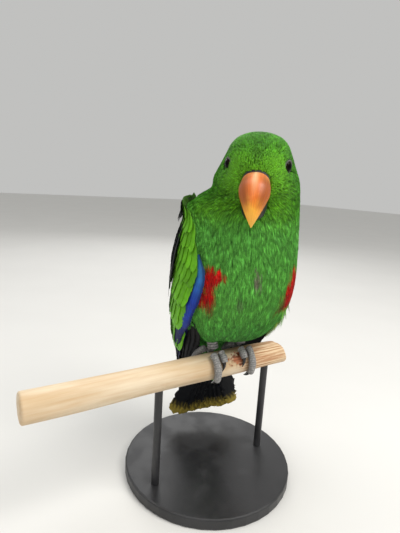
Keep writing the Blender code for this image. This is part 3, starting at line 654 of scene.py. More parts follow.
# The loft's own grid tells how far down the body and how far round it a point lies
GRID_ROWS, GRID_COLUMNS = 220, 96
GRID = body_rings(GRID_ROWS, GRID_COLUMNS, 0.0)
GRID_TREE = KDTree(GRID_ROWS * GRID_COLUMNS)
for index, point in enumerate(GRID.reshape(-1, 3)):
    GRID_TREE.insert(point, index)
GRID_TREE.balance()


def body_places(points):
    """Place down the body and angle round it, nearest to each point."""
    found = np.array([GRID_TREE.find(p)[1] for p in points])
    place = found // GRID_COLUMNS * BODY_END / (GRID_ROWS - 1)
    angle = found % GRID_COLUMNS * 2 * math.pi / GRID_COLUMNS
    return place, (angle + math.pi) % (2 * math.pi) - math.pi


def body_map(place, angle):
    """A place on the unwrap of the skin: angle across, place down."""
    return np.stack([0.5 + angle / (2 * math.pi) * 0.96, 0.98 - place / BODY_END * 0.96], -1)


# Points over the folded wings, to tell what they cover
WING_DOWN = np.linspace(0.3, 8.5, 60)
WING_ACROSS = np.linspace(0.05, 0.97, 30)
WING_COVER = 0.0050
WING_TREE = KDTree(len(SIDES) * len(WING_DOWN) * len(WING_ACROSS))
WING_SHARES = []
for name in SIDES:
    for place in WING_DOWN:
        for share, point in zip(WING_ACROSS, wing_point(name, place, WING_ACROSS)):
            WING_TREE.insert(point, len(WING_SHARES))
            WING_SHARES.append((name, place, share))
WING_TREE.balance()


def under_wing(point):
    """Whether a point of the form is covered by a folded wing."""
    _, index, distance = WING_TREE.find(point)
    _, place, share = WING_SHARES[index]
    return distance < WING_COVER and 0.07 < share < 0.95 and place > 0.45


BILL_BASE = from_head(0.0140, 0.0, -0.0080)
CROWN_REACH = 0.048
BELLY_GATHER = 0.30


def lie_of(point, normal, place, angle):
    """The direction that a feather lies in: away from the bill on the head, then down the body."""
    row = min(int(place / BODY_END * (GRID_ROWS - 1)), GRID_ROWS - 3)
    column = int(round((angle % (2 * math.pi)) / (2 * math.pi) * GRID_COLUMNS)) % GRID_COLUMNS
    down = unit(GRID[row + 2, column] - GRID[row, column])
    away = point - BILL_BASE
    reach = np.linalg.norm(away)
    share = 1 - float(min(ease(reach, 0.020, CROWN_REACH), ease(place, 2.0, 5.0)))
    flow = down * (1 - share) + away / max(reach, 1e-6) * share
    if place > 9:
        drawn_in = float(ease(place, 9.0, 13.0))
        flow = flow - BODY_LEFT * math.sin(angle) * BELLY_GATHER * drawn_in * (math.cos(angle) > 0)
    flow = flow - normal * np.dot(flow, normal)
    return unit(flow)


def thigh_pull(point):
    """How much a point belongs to a thigh, and which way that thigh runs."""
    best, way = 0.0, UP
    for name in SIDES:
        path = thigh_path(name)
        for first, last in zip(path[1:-1], path[2:]):
            step = last - first
            t = np.clip(np.dot(point - first, step) / np.dot(step, step), 0, 1)
            distance = np.linalg.norm(point - first - step * t)
            pull = 1 - float(ease(distance, 0.014, 0.022))
            if pull > best:
                best, way = pull, unit(step)
    return best, way


def nearest(point):
    found = FORM_TREE.find_nearest(point)
    return np.array(found[0]), np.array(found[1])


def spine_over(point, normal, flow, length, steps=3):
    """Points and normals of a feather's shaft as it follows the form."""
    points, normals = [point], [normal]
    for _ in range(steps):
        ahead = points[-1] + flow * length / steps
        spot, facing = nearest(ahead)
        flow = flow - facing * np.dot(flow, facing)
        flow = flow / max(np.linalg.norm(flow), 1e-9)
        points.append(spot)
        normals.append(facing)
    return points, normals


def wave(points):
    """A slow, even swing over the body, between -1 and 1."""
    x, y, z = np.moveaxis(np.asarray(points) * 310, -1, 0)
    return (np.sin(x + 2.1 * np.sin(z * 0.7)) + np.sin(y * 1.3 + z * 0.9 + 1.7 * np.sin(x * 0.8))) / 2


# How close feathers stand, how long they are and how wide, by how far down the body they root:
# place, spacing, length, half width, all in millimetres but the first
COAT_TABLE = [
    (0.0, 1.35, 4.6, 1.2),
    (3.0, 1.30, 4.4, 1.2),
    (5.0, 1.45, 5.0, 1.3),
    (7.0, 1.95, 7.5, 1.8),
    (9.0, 2.20, 13.0, 2.2),
    (11.0, 2.35, 16.0, 2.4),
    (13.0, 2.40, 17.5, 2.5),
    (15.0, 2.40, 17.0, 2.6),
    (18.0, 2.60, 12.0, 2.8),
]
FACE_SPACING, FACE_LENGTH, FACE_WIDTH = 0.85, 2.0, 0.65


def coat_sizes(place, reach):
    """Spacing, length and half width of feathers at a place, smaller near the bill."""
    table = np.array(COAT_TABLE)
    sizes = [np.interp(place, table[:, 0], table[:, k]) for k in (1, 2, 3)]
    face = 1 - ease(reach, 0.012, 0.034)
    small = (FACE_SPACING, FACE_LENGTH, FACE_WIDTH)
    return [blend(size, low, face) / 1000 for size, low in zip(sizes, small)]


BARE_EYE = LID_RADIUS + 0.0003


def eye_place(side):
    """An eyeball's centre and the direction that it looks in."""
    outward = HEAD_LEFT * side * math.sqrt(1 - EYE_AHEAD_SHARE**2) + HEAD_FORWARD * EYE_AHEAD_SHARE
    outward = unit(outward)
    return from_head(0, side * EYE_OUT, 0) - outward * EYE_RADIUS, outward


# Bill
UPPER_SLICES = [
    (0.0150, 0.0020, 0.0060, -0.0170, 0.0098),
    (0.0250, 0.0010, 0.0140, -0.0185, 0.0112),
    (0.0345, -0.0018, 0.0230, -0.0198, 0.0118),
    (0.0415, -0.0080, 0.0308, -0.0214, 0.0098),
    (0.0455, -0.0155, 0.0375, -0.0246, 0.0068),
    (0.0472, -0.0238, 0.0418, -0.0282, 0.0038),
    (0.0461, -0.0320, 0.0449, -0.0331, 0.0004),
]
LOWER_SLICES = [
    (0.0050, -0.0176, 0.0010, -0.0300, 0.0090),
    (0.0140, -0.0190, 0.0090, -0.0336, 0.0101),
    (0.0232, -0.0203, 0.0188, -0.0352, 0.0098),
    (0.0312, -0.0221, 0.0296, -0.0341, 0.0078),
    (0.0378, -0.0254, 0.0374, -0.0302, 0.0042),
]


def bill_rings(slices, rows, columns, top_power, low_power, grow=0.0):
    """Rings of half a bill, from root to tip."""
    value = smooth_rows(slices, np.linspace(0, len(slices) - 1, rows))
    top_ahead, top_up, low_ahead, low_up, width = (value[:, k, None] for k in range(5))
    turn = full_turn(columns)[None]
    power = np.where(np.cos(turn) > 0, top_power, low_power)
    rise = signed_power(np.cos(turn), 2 / power)
    size = np.hypot(top_ahead - low_ahead, top_up - low_up) / 2
    rise = rise * (1 + grow / size)
    ahead = (top_ahead + low_ahead) / 2 + (top_ahead - low_ahead) / 2 * rise
    up = (top_up + low_up) / 2 + (top_up - low_up) / 2 * rise
    aside = signed_power(np.sin(turn), 2 / power) * (width + grow)
    return from_head(ahead[..., None], aside[..., None], up[..., None])


UPPER_POWERS, LOWER_POWERS = (2.0, 3.2), (3.2, 2.0)
BILL_PARTS = [
    loft(bill_rings(UPPER_SLICES, 24, 20, *UPPER_POWERS)),
    loft(bill_rings(LOWER_SLICES, 16, 20, *LOWER_POWERS)),
]
BILL_POINTS, BILL_FACES = joined(BILL_PARTS)
BILL_TREE = BVHTree.FromPolygons([Vector(p) for p in BILL_POINTS], [tuple(f) for f in BILL_FACES.tolist()])


def bare(point):
    """Whether a point of the form is under the eyelids or the bill."""
    for side in (-1, 1):
        centre, outward = eye_place(side)
        rim = centre + outward * math.sqrt(EYE_RADIUS**2 - LID_RADIUS**2)
        if np.linalg.norm(point - rim) < BARE_EYE:
            return True
    spot, facing, _, distance = BILL_TREE.find_nearest(point)
    return distance < 0.0008 or (Vector(point) - spot).dot(facing) < 0


def grows(place, point):
    """Whether small feathers grow at a point of the form."""
    if place >= COAT_END or (place < HEAD_END and bare(point)):
        return False
    return not under_wing(point)


def scatter(centres, spacings, draw):
    """Face centres picked in random order, none nearer another than its spacing."""
    cell = float(spacings.max())
    taken = {}
    chosen = []
    order = draw.permutation(len(centres))
    keys = np.floor(centres / cell).astype(int)
    around = [(x, y, z) for x in (-1, 0, 1) for y in (-1, 0, 1) for z in (-1, 0, 1)]
    for index in order:
        x, y, z = keys[index]
        point, spacing = centres[index], spacings[index]
        near = [p for a, b, c in around for p in taken.get((x + a, y + b, z + c), ())]
        if near and (np.sum((np.array(near) - point) ** 2, axis=1) < spacing**2).any():
            continue
        taken.setdefault((x, y, z), []).append(point)
        chosen.append(index)
    return np.array(chosen)


def along_spine(spines, at):
    """Points of shafts (n, m, 3) at shares (n, ...) of their length."""
    steps = spines.shape[1] - 1
    shape = at.shape
    t = np.clip(at.reshape(len(spines), -1), 0, 1.15) * steps
    first = np.clip(t.astype(int), 0, steps - 1)
    part = (t - first)[..., None]
    low = np.take_along_axis(spines, first[..., None], axis=1)
    high = np.take_along_axis(spines, first[..., None] + 1, axis=1)
    return (low + (high - low) * part).reshape(*shape, 3)


def heading(spines, at, step, limit):
    """The way that shafts run at shares of their length."""
    after = along_spine(spines, np.minimum(at + step, limit))
    return unit(after - along_spine(spines, np.maximum(at - step, 0)))


# Half the side of the patch that a feather has on the map
MAP_HALF = 0.0015
STRAND_STOPS = np.array([0.0, 0.52, 1.0])
STRAND_WIDTHS = np.array([0.8, 1.0, 0.0])
SUB_LOCKS = 4
ROOT_DEPTH = 0.0006
# Shares of strands painted darker as shadow in the gaps between strands, and lighter with a mint tint as
# painted sheen
SHADED_STRANDS, SHEEN_STRANDS = 0.09, 0.12
PAINTED_SHEEN = np.array([0.012, 0.05, 0.03])


def tuft_arrays(spines, normals, widths, colours, maps, draw, strands, half, lift, spread):
    """Points, triangles, tints, blade marks and map places of tufts of fine strands."""
    n, stops = len(spines), len(STRAND_STOPS)
    fan = np.linspace(-1, 1, strands)[None] + draw.normal(0, 0.16, (n, strands))
    reach = 1.0 - 0.22 * fan**2 + draw.normal(0, 0.07, (n, strands))
    at = np.clip(reach, 0.35, 1.12)[..., None] * STRAND_STOPS
    points = along_spine(spines, at)
    facing = unit(along_spine(normals, at))
    ahead = heading(spines, at, 0.12, 1.15)
    across = unit(np.cross(ahead, facing))
    sway = draw.normal(0, 0.22, (n, strands, 1)) * STRAND_STOPS**2
    wide = fan[..., None] * (0.45 + spread * STRAND_STOPS) + sway
    points = points + across * (wide * widths[:, None, None])[..., None]
    rise = lift[:, None] * (1 + draw.normal(0, 0.35, (n, strands)))
    height = -ROOT_DEPTH * (1 - STRAND_STOPS) ** 2 + rise[..., None] * STRAND_STOPS
    height = height - 0.00012 * fan[..., None] ** 2
    points = points + facing * height[..., None]
    size = half * (1 + draw.normal(0, 0.15, (n, strands, 1))) * STRAND_WIDTHS
    left = points - across * size[..., None]
    right = points + across * size[..., None]
    ridge = points + facing * (size * 0.75)[..., None]
    body = np.stack([left, ridge, right], axis=3)[:, :, :-1].reshape(n, strands, -1, 3)
    verts = np.concatenate([body, points[:, :, -1:]], axis=2)
    count = verts.shape[2]
    faces = []
    for j in range(stops - 2):
        for k in range(3):
            a, b = 3 * j + k, 3 * j + (k + 1) % 3
            faces += [(a, b, b + 3), (a, b + 3, a + 3)]
    last = 3 * (stops - 2)
    faces += [(last, last + 1, count - 1), (last + 1, last + 2, count - 1), (last + 2, last, count - 1)]
    faces += [(0, 2, 1)]
    faces = np.array(faces)
    starts = np.arange(n * strands) * count
    triangles = (faces[None] + starts[:, None, None]).reshape(-1, 3)
    lock = np.clip(((fan + 1) * SUB_LOCKS / 2).astype(int), 0, SUB_LOCKS - 1)
    bright = 1 + draw.normal(0, 0.20, (n, strands))
    bright = bright + np.take_along_axis(draw.normal(0, 0.12, (n, SUB_LOCKS)), lock, 1)
    # Some strands at half brightness: painted shadow between strands
    bright = np.where(draw.random((n, strands)) < SHADED_STRANDS, bright * 0.5, bright)
    tint = colours[:, None] * np.clip(bright, 0.25, 1.7)[..., None]
    # Some strands lighter and mint-tinted: painted sheen
    pale = (draw.random((n, strands)) < SHEEN_STRANDS)[..., None]
    tint = np.where(pale, tint * 1.25 + PAINTED_SHEEN, tint)
    tint = np.repeat(tint[:, :, None], count, axis=2)
    stop = np.concatenate([np.repeat(STRAND_STOPS[:-1], 3), [1.0]])
    blade = np.empty((n, strands, count, 3))
    blade[..., 0] = fan[..., None]
    blade[..., 1] = stop
    blade[..., 2] = draw.random((n, 1, 1)) * 9
    aside = np.repeat(np.clip(fan, -1, 1)[..., None], count, axis=2)
    down = np.broadcast_to(1 - 2 * stop, (n, strands, count))
    patch = maps[:, None, None] + MAP_HALF * np.stack([aside, down], -1)
    shape = (-1, 3)
    return verts.reshape(shape), triangles, tint.reshape(shape), blade.reshape(shape), patch.reshape(-1, 2)


def feather_piece(name, arrays, finish):
    """A piece of coat from its arrays."""
    points, triangles, tint, blade, patch = arrays
    mesh = mesh_of(name, points, triangles)
    paint(mesh, "tint", np.clip(tint, 0, 1))
    mark(mesh, "blade", blade)
    unwrap(mesh, patch)
    return piece(name, mesh, finish)


# Places down the body where one region of the coat ends
FACE_END, CHEEK_END, BREAST_END, BACK_END = 5.2, 8.3, 12.2, 14


def region_of(place, angle, thigh):
    """The part of the body that a feather belongs to."""
    side = "left" if angle > 0 else "right"
    front = abs(angle) < math.pi / 2
    if thigh:
        return f"coat_thigh_{side}"
    if place < FACE_END:
        return f"coat_{'face' if front else 'crown'}_{side}"
    if place < CHEEK_END:
        return f"coat_{'cheek' if front else 'nape'}_{side}"
    if not front:
        return "coat_back" if place < BACK_END else "coat_rump"
    return f"coat_breast_{side}" if place < BREAST_END else f"coat_belly_{side}"


# Strands in a tuft, half a strand's width, rise by a tuft's length, and how far it fans out
HEAD_TUFT = (11, 0.00016, 0.02, 0.5)
BODY_TUFT = (18, 0.00020, 0.03, 0.25)


def make_coat():
    """Every small feather of head, neck, body and thighs."""
    draw = np.random.default_rng(SEED)
    place, angle = body_places(FORM_CENTRES)
    reach = np.linalg.norm(FORM_CENTRES - BILL_BASE, axis=1)
    spacing, length, width = coat_sizes(place, reach)
    kept = np.array([i for i, point in enumerate(FORM_CENTRES) if grows(place[i], point)])
    kept = kept[scatter(FORM_CENTRES[kept], spacing[kept], draw)]
    groups = {}
    for i in kept:
        point, normal = FORM_CENTRES[i], FORM_NORMALS[i]
        flow = lie_of(point, normal, place[i], angle[i])
        pull, way = thigh_pull(point)
        size = length[i]
        if pull > 0:
            flow = unit(flow * (1 - pull) + (way - normal * np.dot(way, normal)) * pull)
        sway = draw.normal(0, 0.07) + 0.20 * float(wave(point))
        flow = unit(flow + np.cross(normal, flow) * sway)
        size = size * (1 + draw.normal(0, 0.10))
        points, normals = spine_over(point, normal, flow, size)
        region = region_of(place[i], angle[i], pull > 0.6)
        groups.setdefault(region, []).append((points, normals, width[i], size, place[i], angle[i]))
    for region in sorted(groups):
        group = groups[region]
        spines = np.array([g[0] for g in group])
        normals = np.array([g[1] for g in group])
        widths, sizes, places, angles = (np.array([g[k] for g in group]) for k in (2, 3, 4, 5))
        colours = spotted(spines[:, 0], plumage_colour(spines[:, 0]), draw)
        tone = 1 + draw.normal(0, 0.07, len(group)) + 0.10 * wave(spines[:, 0] * 1.9 + 0.3)
        colours = colours * tone[:, None]
        maps = body_map(places, angles)
        strands, half, rise, spread = HEAD_TUFT if places.mean() < 7 else BODY_TUFT
        lift = 0.0002 + sizes * rise
        arrays = tuft_arrays(spines, normals, widths, colours, maps, draw, strands, half, lift, spread)
        feather_piece(region, arrays, DOWN)


FLANK_COLOUR = rgb(158, 166, 78)
FLANK_TUFTS = 34


def make_flank_tuft():
    """The frayed yellowish feathers that stand out over the left flank."""
    draw = np.random.default_rng(SEED + 11)
    places = draw.uniform(12.3, 13.5, FLANK_TUFTS)
    angles = np.radians(draw.uniform(44, 76, FLANK_TUFTS))
    rise = (np.linspace(0, 1, 4) ** 2)[:, None]
    spines, facings = [], []
    for root, place, angle in zip(section_point(BODY_STATIONS, places, angles), places, angles):
        point, normal = nearest(root)
        flow = lie_of(point, normal, place, angle)
        points, normals = spine_over(point, normal, flow, draw.uniform(0.012, 0.018))
        spines.append(np.array(points) + np.array(normals) * rise * draw.uniform(0.001, 0.005))
        facings.append(normals)
    green = plumage_colour(np.array(spines)[:, 0])
    share = draw.uniform(0.2, 0.8, (FLANK_TUFTS, 1))
    colours = blend(green, FLANK_COLOUR, share)
    widths = np.full(FLANK_TUFTS, 0.0017)
    lift = np.full(FLANK_TUFTS, 0.0012)
    spines, facings, maps = np.array(spines), np.array(facings), body_map(places, angles)
    arrays = tuft_arrays(spines, facings, widths, colours, maps, draw, 11, 0.00018, lift, 0.9)
    feather_piece("coat_flank_left", arrays, DOWN)


# Vanes
# A vane's width at its root as a share of the full one, how far its barbs slant, its thickness, the
# height of its shaft, and how far every second barb stands out
VANE_ROOT = 0.30
BARB_SLANT = 0.5
VANE_THICK = 0.00030
SHAFT_RIDGE = 0.00020
BARB_COMB = 0.00004


def vane_arrays(
    spines, normals, widths, tops, bottoms, maps, draw, rows, columns, tilt,
    tip=0.72, curve=0.05, fray=0.05, split=0.006,
):
    """Closed thin vanes with a shaft, swept barbs and a frayed edge.

    tops and bottoms are functions of (across, along) that give the colour of each side.
    """
    n = len(spines)
    v = np.linspace(0, 1, rows)[None, :, None]
    u = np.linspace(-1, 1, columns)[None, None]
    profile = np.where(
        v < tip,
        VANE_ROOT + (1 - VANE_ROOT) * ease(v, 0.0, 0.30),
        np.sqrt(np.clip(1 - (np.maximum(v - tip, 0) / (1 - tip + 1e-6)) ** 2.2, 0, 1)),
    )
    edge = np.abs(u)
    rough = draw.normal(0, 1, (n, rows, 1)) * fray * (edge > 0.99)
    length = np.linalg.norm(np.diff(spines, axis=1), axis=-1).sum(1)
    sweep = BARB_SLANT * edge * profile * widths[:, None, None] / length[:, None, None] * (1 - v**3)
    parted = draw.normal(0, 1, (n, rows, 1)) * split * edge**2
    start = BARB_SLANT * 0.5 * widths[:, None, None] / length[:, None, None]
    at = np.clip(v + sweep - start + parted, 0, 1.08)
    points = along_spine(spines, at)
    facing = unit(along_spine(normals, at))
    ahead = heading(spines, at, 0.08, 1.08)
    across = unit(np.cross(ahead, facing))
    lean = tilt[:, None, None, None]
    level, upright = across, facing
    across = level * np.cos(lean) + upright * np.sin(lean)
    facing = upright * np.cos(lean) - level * np.sin(lean)
    wide = u * profile * (1 + rough) * widths[:, None, None]
    comb = np.where(np.arange(rows) % 2 == 0, 1, -1)[None, :, None] * BARB_COMB * (edge > 0.1)
    drop = -(wide**2) / (2 * curve) + comb + draw.normal(0, 1, (n, rows, 1)) * 0.00005 * edge
    middle = points + across * wide[..., None] + facing * drop[..., None]
    half = VANE_THICK * (1 - 0.7 * edge) * (1 - 0.5 * v) / 2
    shaft = np.where(edge < 0.01, SHAFT_RIDGE * (1 - 0.8 * v), 0)
    top = middle + facing * (half + shaft)[..., None]
    bottom = middle - facing * (half + shaft * 0.5)[..., None]
    cells = rows * columns
    verts = np.concatenate([top.reshape(n, cells, 3), bottom.reshape(n, cells, 3)], axis=1)
    upper = split_quads(grid_faces(rows, columns))
    lower = upper[:, ::-1] + cells
    rim = [(0, c) for c in range(columns)]
    rim += [(r, columns - 1) for r in range(1, rows)]
    rim += [(rows - 1, c) for c in range(columns - 2, -1, -1)]
    rim += [(r, 0) for r in range(rows - 2, 0, -1)]
    ids = np.array([r * columns + c for r, c in rim])
    after = np.roll(ids, -1)
    walls = [np.stack([ids, ids + cells, after + cells], 1), np.stack([ids, after + cells, after], 1)]
    faces = np.concatenate([upper, lower, *walls])
    starts = np.arange(n) * cells * 2
    triangles = (faces[None] + starts[:, None, None]).reshape(-1, 3)
    uu = np.broadcast_to(u, (n, rows, columns))
    vv = np.broadcast_to(v, (n, rows, columns))
    tint = np.concatenate([tops(uu, vv).reshape(n, cells, 3), bottoms(uu, vv).reshape(n, cells, 3)], axis=1)
    blade = np.stack([uu, vv, np.broadcast_to(draw.random((n, 1, 1)) * 9, uu.shape)], -1).reshape(n, cells, 3)
    blade = np.concatenate([blade, blade], axis=1)
    patch = maps[:, None, None] + MAP_HALF * np.stack([uu, 1 - 2 * vv], -1)
    patch = patch.reshape(n, cells, 2)
    patch = np.concatenate([patch, patch], axis=1)
    return verts.reshape(-1, 3), triangles, tint.reshape(-1, 3), blade.reshape(-1, 3), patch.reshape(-1, 2)


def combined(groups):
    """Joins the arrays of several lots of feathers."""
    points, triangles, tint, blade, patch, start = [], [], [], [], [], 0
    for group in groups:
        points.append(group[0])
        triangles.append(group[1] + start)
        tint.append(group[2])
        blade.append(group[3])
        patch.append(group[4])
        start += len(group[0])
    return tuple(np.concatenate(a) for a in (points, triangles, tint, blade, patch))


def graded(root, tip, edge=None):
    """A colour function for a vane: root to tip, and another colour along its front edge."""

    def colour(u, v):
        value = blend(root, tip, ease(v, 0.2, 0.9)[..., None])
        if edge is not None:
            value = blend(value, edge, ease(u, 0.15, 0.75)[..., None])
        return value

    return colour


def leaf(root, tip, rim):
    """A colour function for a green vane with lighter edges."""

    def colour(u, v):
        value = blend(root, tip, ease(v, 0.2, 0.9)[..., None])
        return value * (1 + rim * ease(np.abs(u), 0.55, 1.0) - 0.15 * ease(-u, 0.0, 0.5))[..., None]

    return colour


def blue_run(u, v):
    """Blue coverts: azure where they start, darker one by one down the wing and along each front edge."""
    run = np.linspace(0, 1, len(v))[:, None, None] * 0.75 + v * 0.35
    value = blend(BLUE_LIGHT, BLUE, ease(run, 0.02, 0.32)[..., None])
    value = blend(value, NAVY, ease(run, 0.52, 0.98)[..., None])
    return blend(value, NAVY, (0.8 * ease(-u, 0.2, 0.8))[..., None])


def plain(colour):
    return lambda u, v: np.broadcast_to(colour, (*u.shape, 3))


def wing_spines(name, roots, tips, root_lift, tip_lift, arch, steps=6):
    """Shafts over the wing's surface between (place, share) roots and tips."""
    t = np.linspace(0, 1, steps)[None]
    place = roots[:, :1] + (tips[:, :1] - roots[:, :1]) * t
    share = roots[:, 1:] + (tips[:, 1:] - roots[:, 1:]) * t
    lift = root_lift + (tip_lift[:, None] - root_lift) * t + arch * np.sin(math.pi * t)
    return wing_point(name, place, share, lift), wing_normal(name, place, share)


# A row of feathers: how many, where the first and last root and end by (place, share), half width, lift
# at root and tip, the grid of each, and how far its shafts arch
WingRow = namedtuple("WingRow", "kind count roots tips width lift rows columns arch", defaults=(0.0,))
WING_ROWS = [
    WingRow("inner", 5, ((5.4, -0.04), (5.2, 0.20)), ((9.3, 0.01), (9.2, 0.34)),
            0.0078, (-0.0046, -0.0030), 44, 9),
    WingRow("primary", 9, ((5.3, 0.05), (5.2, 0.36)), ((10.0, 0.42), (8.0, 0.82)),
            0.0072, (-0.0022, 0.0002), 44, 9),
    WingRow("secondary", 10, ((5.2, 0.14), (4.2, 0.80)), ((7.7, 0.18), (7.3, 0.93)),
            0.0086, (-0.0016, 0.0010), 40, 9),
    WingRow("primary_covert", 8, ((2.2, 0.02), (4.6, 0.08)), ((4.4, 0.01), (7.2, 0.14)),
            0.0046, (-0.0010, 0.0022), 30, 7),
    WingRow("greater_covert", 12, ((4.0, 0.16), (3.2, 0.84)), ((6.1, 0.17), (5.7, 0.92)),
            0.0062, (-0.0008, 0.0018), 26, 7),
    WingRow("median_covert", 13, ((2.9, 0.12), (2.4, 0.84)), ((4.7, 0.13), (4.4, 0.90)),
            0.0054, (-0.0006, 0.0022), 22, 7),
    WingRow("lesser_covert", 14, ((2.2, 0.09), (1.8, 0.86)), ((3.6, 0.10), (3.4, 0.90)),
            0.0046, (-0.0006, 0.0024), 20, 7),
    WingRow("lesser_covert", 13, ((1.6, 0.08), (1.2, 0.86)), ((2.9, 0.08), (2.7, 0.90)),
            0.0045, (-0.0006, 0.0026), 20, 7),
    WingRow("lesser_covert", 12, ((1.0, 0.08), (0.7, 0.88)), ((2.2, 0.07), (2.1, 0.91)),
            0.0044, (-0.0006, 0.0028), 20, 7),
    WingRow("lesser_covert", 11, ((0.5, 0.09), (0.2, 0.90)), ((1.6, 0.08), (1.5, 0.92)),
            0.0044, (-0.0006, 0.0028), 20, 7),
    WingRow("lesser_covert", 10, ((0.0, 0.12), (-0.3, 0.92)), ((1.0, 0.10), (0.9, 0.94)),
            0.0044, (-0.0006, 0.0028), 20, 7),
]
# Long feathers from the shoulder over the wing's back, and the ragged short ones at their root
SHOULDER_ROWS = {
    # On the right wing these are near black: painted shade, where the left wing's are green
    "right": [
        WingRow("shoulder", 7, ((0.8, 0.36), (0.8, 0.84)), ((5.0, 0.42), (4.2, 0.86)),
                0.0052, (-0.0006, 0.0030), 40, 7, 0.0030),
        WingRow("shoulder", 9, ((-0.1, 0.22), (0.2, 0.66)), ((1.3, 0.30), (1.6, 0.66)),
                0.0026, (-0.0006, 0.0062), 20, 5, 0.0010),
    ],
    "left": [
        WingRow("green_shoulder", 7, ((0.8, 0.46), (0.8, 0.78)), ((4.8, 0.50), (4.2, 0.80)),
                0.0052, (-0.0006, 0.0040), 40, 7, 0.0010),
    ],
}
VANE_FORMS = {
    "lesser_covert": dict(tip=0.45, fray=0.045, split=0.010),
    "median_covert": dict(tip=0.50, fray=0.045, split=0.010),
    "greater_covert": dict(tip=0.60, fray=0.04, split=0.008),
    "secondary": dict(tip=0.70, fray=0.04, split=0.008),
    "shoulder": dict(tip=0.55, fray=0.08, split=0.012),
    "green_shoulder": dict(tip=0.55, fray=0.05, split=0.010),
}
UNDER_GREEN = plain(GREENS["wing"] * 0.30)
WING_COLOURS = {
    "primary": (graded(NAVY, INK * 1.6, BLUE), plain(INK * 2.2)),
    "secondary": (leaf(GREENS["wing"] * 0.8, GREENS["wing"], 0.35), UNDER_GREEN),
    "primary_covert": (blue_run, plain(NAVY)),
    "inner": (plain(INK * 1.5), plain(INK * 1.5)),
    "greater_covert": (leaf(GREENS["wing"] * 0.85, GREENS["wing"] * 1.05, 0.35), UNDER_GREEN),
    "median_covert": (leaf(GREENS["wing"] * 0.85, GREENS["wing"] * 1.05, 0.2), UNDER_GREEN),
    "lesser_covert": (leaf(GREENS["wing"] * 0.8, GREENS["wing"] * 0.95, 0.1), UNDER_GREEN),
    # Near-black shoulder feathers, on the right wing only: painted shade
    "shoulder": (graded(INK * 1.4, INK * 2.2), plain(INK * 1.6)),
    "green_shoulder": (leaf(GREENS["wing"] * 0.8, GREENS["wing"] * 0.9, 0.2), UNDER_GREEN),
}


def make_wing(name):
    """One wing's feathers in tiers, from the long ones at the bottom up to the shoulder."""
    draw = np.random.default_rng(SEED + SIDES[name])
    lots = []
    for row in WING_ROWS + SHOULDER_ROWS[name]:
        n = row.count
        t = np.linspace(0, 1, n)[:, None]
        roots = blend(*np.array(row.roots), t)
        tips = blend(*np.array(row.tips), t)
        tips = tips + draw.normal(0, 1, tips.shape) * (0.05, 0.008)
        lift = row.lift[1] * (1 + draw.normal(0, 0.08, n))
        spines, normals = wing_spines(name, roots, tips, row.lift[0], lift, row.arch)
        widths = row.width * (1 + draw.normal(0, 0.05, n))
        maps = 0.03 + 0.94 * np.stack([roots[:, 1] * 0.9 + 0.05, 1 - (roots[:, 0] + 0.3) / 6], -1)
        tilt = np.full(n, math.radians(7) * SIDES[name]) * (1 + draw.normal(0, 0.1, n))
        tops, bottoms = WING_COLOURS[row.kind]
        vary = 1 + draw.normal(0, 0.08, (n, 1, 1, 1))
        lots.append(
            vane_arrays(
                spines, normals, widths,
                lambda u, v, f=tops, k=vary: f(u * -SIDES[name], v) * k,
                bottoms, maps, draw, row.rows, row.columns, tilt=tilt, **VANE_FORMS.get(row.kind, {}),
            )
        )
    arrays = combined(lots)
    wing = feather_piece(f"wing_feathers_{name}", arrays, VANE)
    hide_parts(f"wing_{name}")


# Tail
TAIL_ROOT = (-0.0440, -0.0025, -0.0180)
TAIL_TIP = (-0.0670, -0.0055, -0.1015)
TAIL_ARCH = 0.0040
TAIL_ROUND = 0.0030
TAIL_TILT = 0.0050
TAIL_SAG = 0.0030
TAIL_LEAN = math.radians(-14)
TAIL_FEATHERS = 12
TailRow = namedtuple("TailRow", "kind count reach root tip width rise up")
TAIL_ROWS = [
    TailRow("feather", TAIL_FEATHERS, 1.00, 0.0060, 0.0345, 0.0078, 0.0, 0.0),
    TailRow("covert", 7, 0.42, 0.0060, 0.0150, 0.0070, -0.0040, 0.0080),
    TailRow("covert", 6, 0.26, 0.0070, 0.0120, 0.0065, -0.0055, 0.0110),
    TailRow("undercovert", 7, 0.48, 0.0060, 0.0140, 0.0070, 0.0044, 0.0080),
    TailRow("undercovert", 6, 0.30, 0.0070, 0.0130, 0.0065, 0.0062, 0.0110),
]


def tail_top(spread):
    """Upper side of a tail feather: green in the middle of the tail, blue outwards, pale yellow tip."""
    outer = ease(np.abs(spread), 0.25, 0.9)[:, None, None, None]
    base = blend(GREENS["back"], BLUE * 0.8, outer)

    def colour(u, v):
        value = np.broadcast_to(base, (*u.shape, 3))
        value = blend(value, NAVY, (ease(v, 0.45, 0.85) * 0.6)[..., None])
        return blend(value, TAIL_YELLOW, ease(v + 0.03 * np.abs(u), 0.92, 0.97)[..., None])

    return colour


def tail_under(u, v):
    value = np.broadcast_to(INK, (*u.shape, 3))
    ragged = v + 0.04 * np.abs(u) + 0.035 * np.sin(u * 13 + v * 40)
    return blend(value, TAIL_YELLOW * 0.8, ease(ragged, 0.84, 0.96)[..., None])


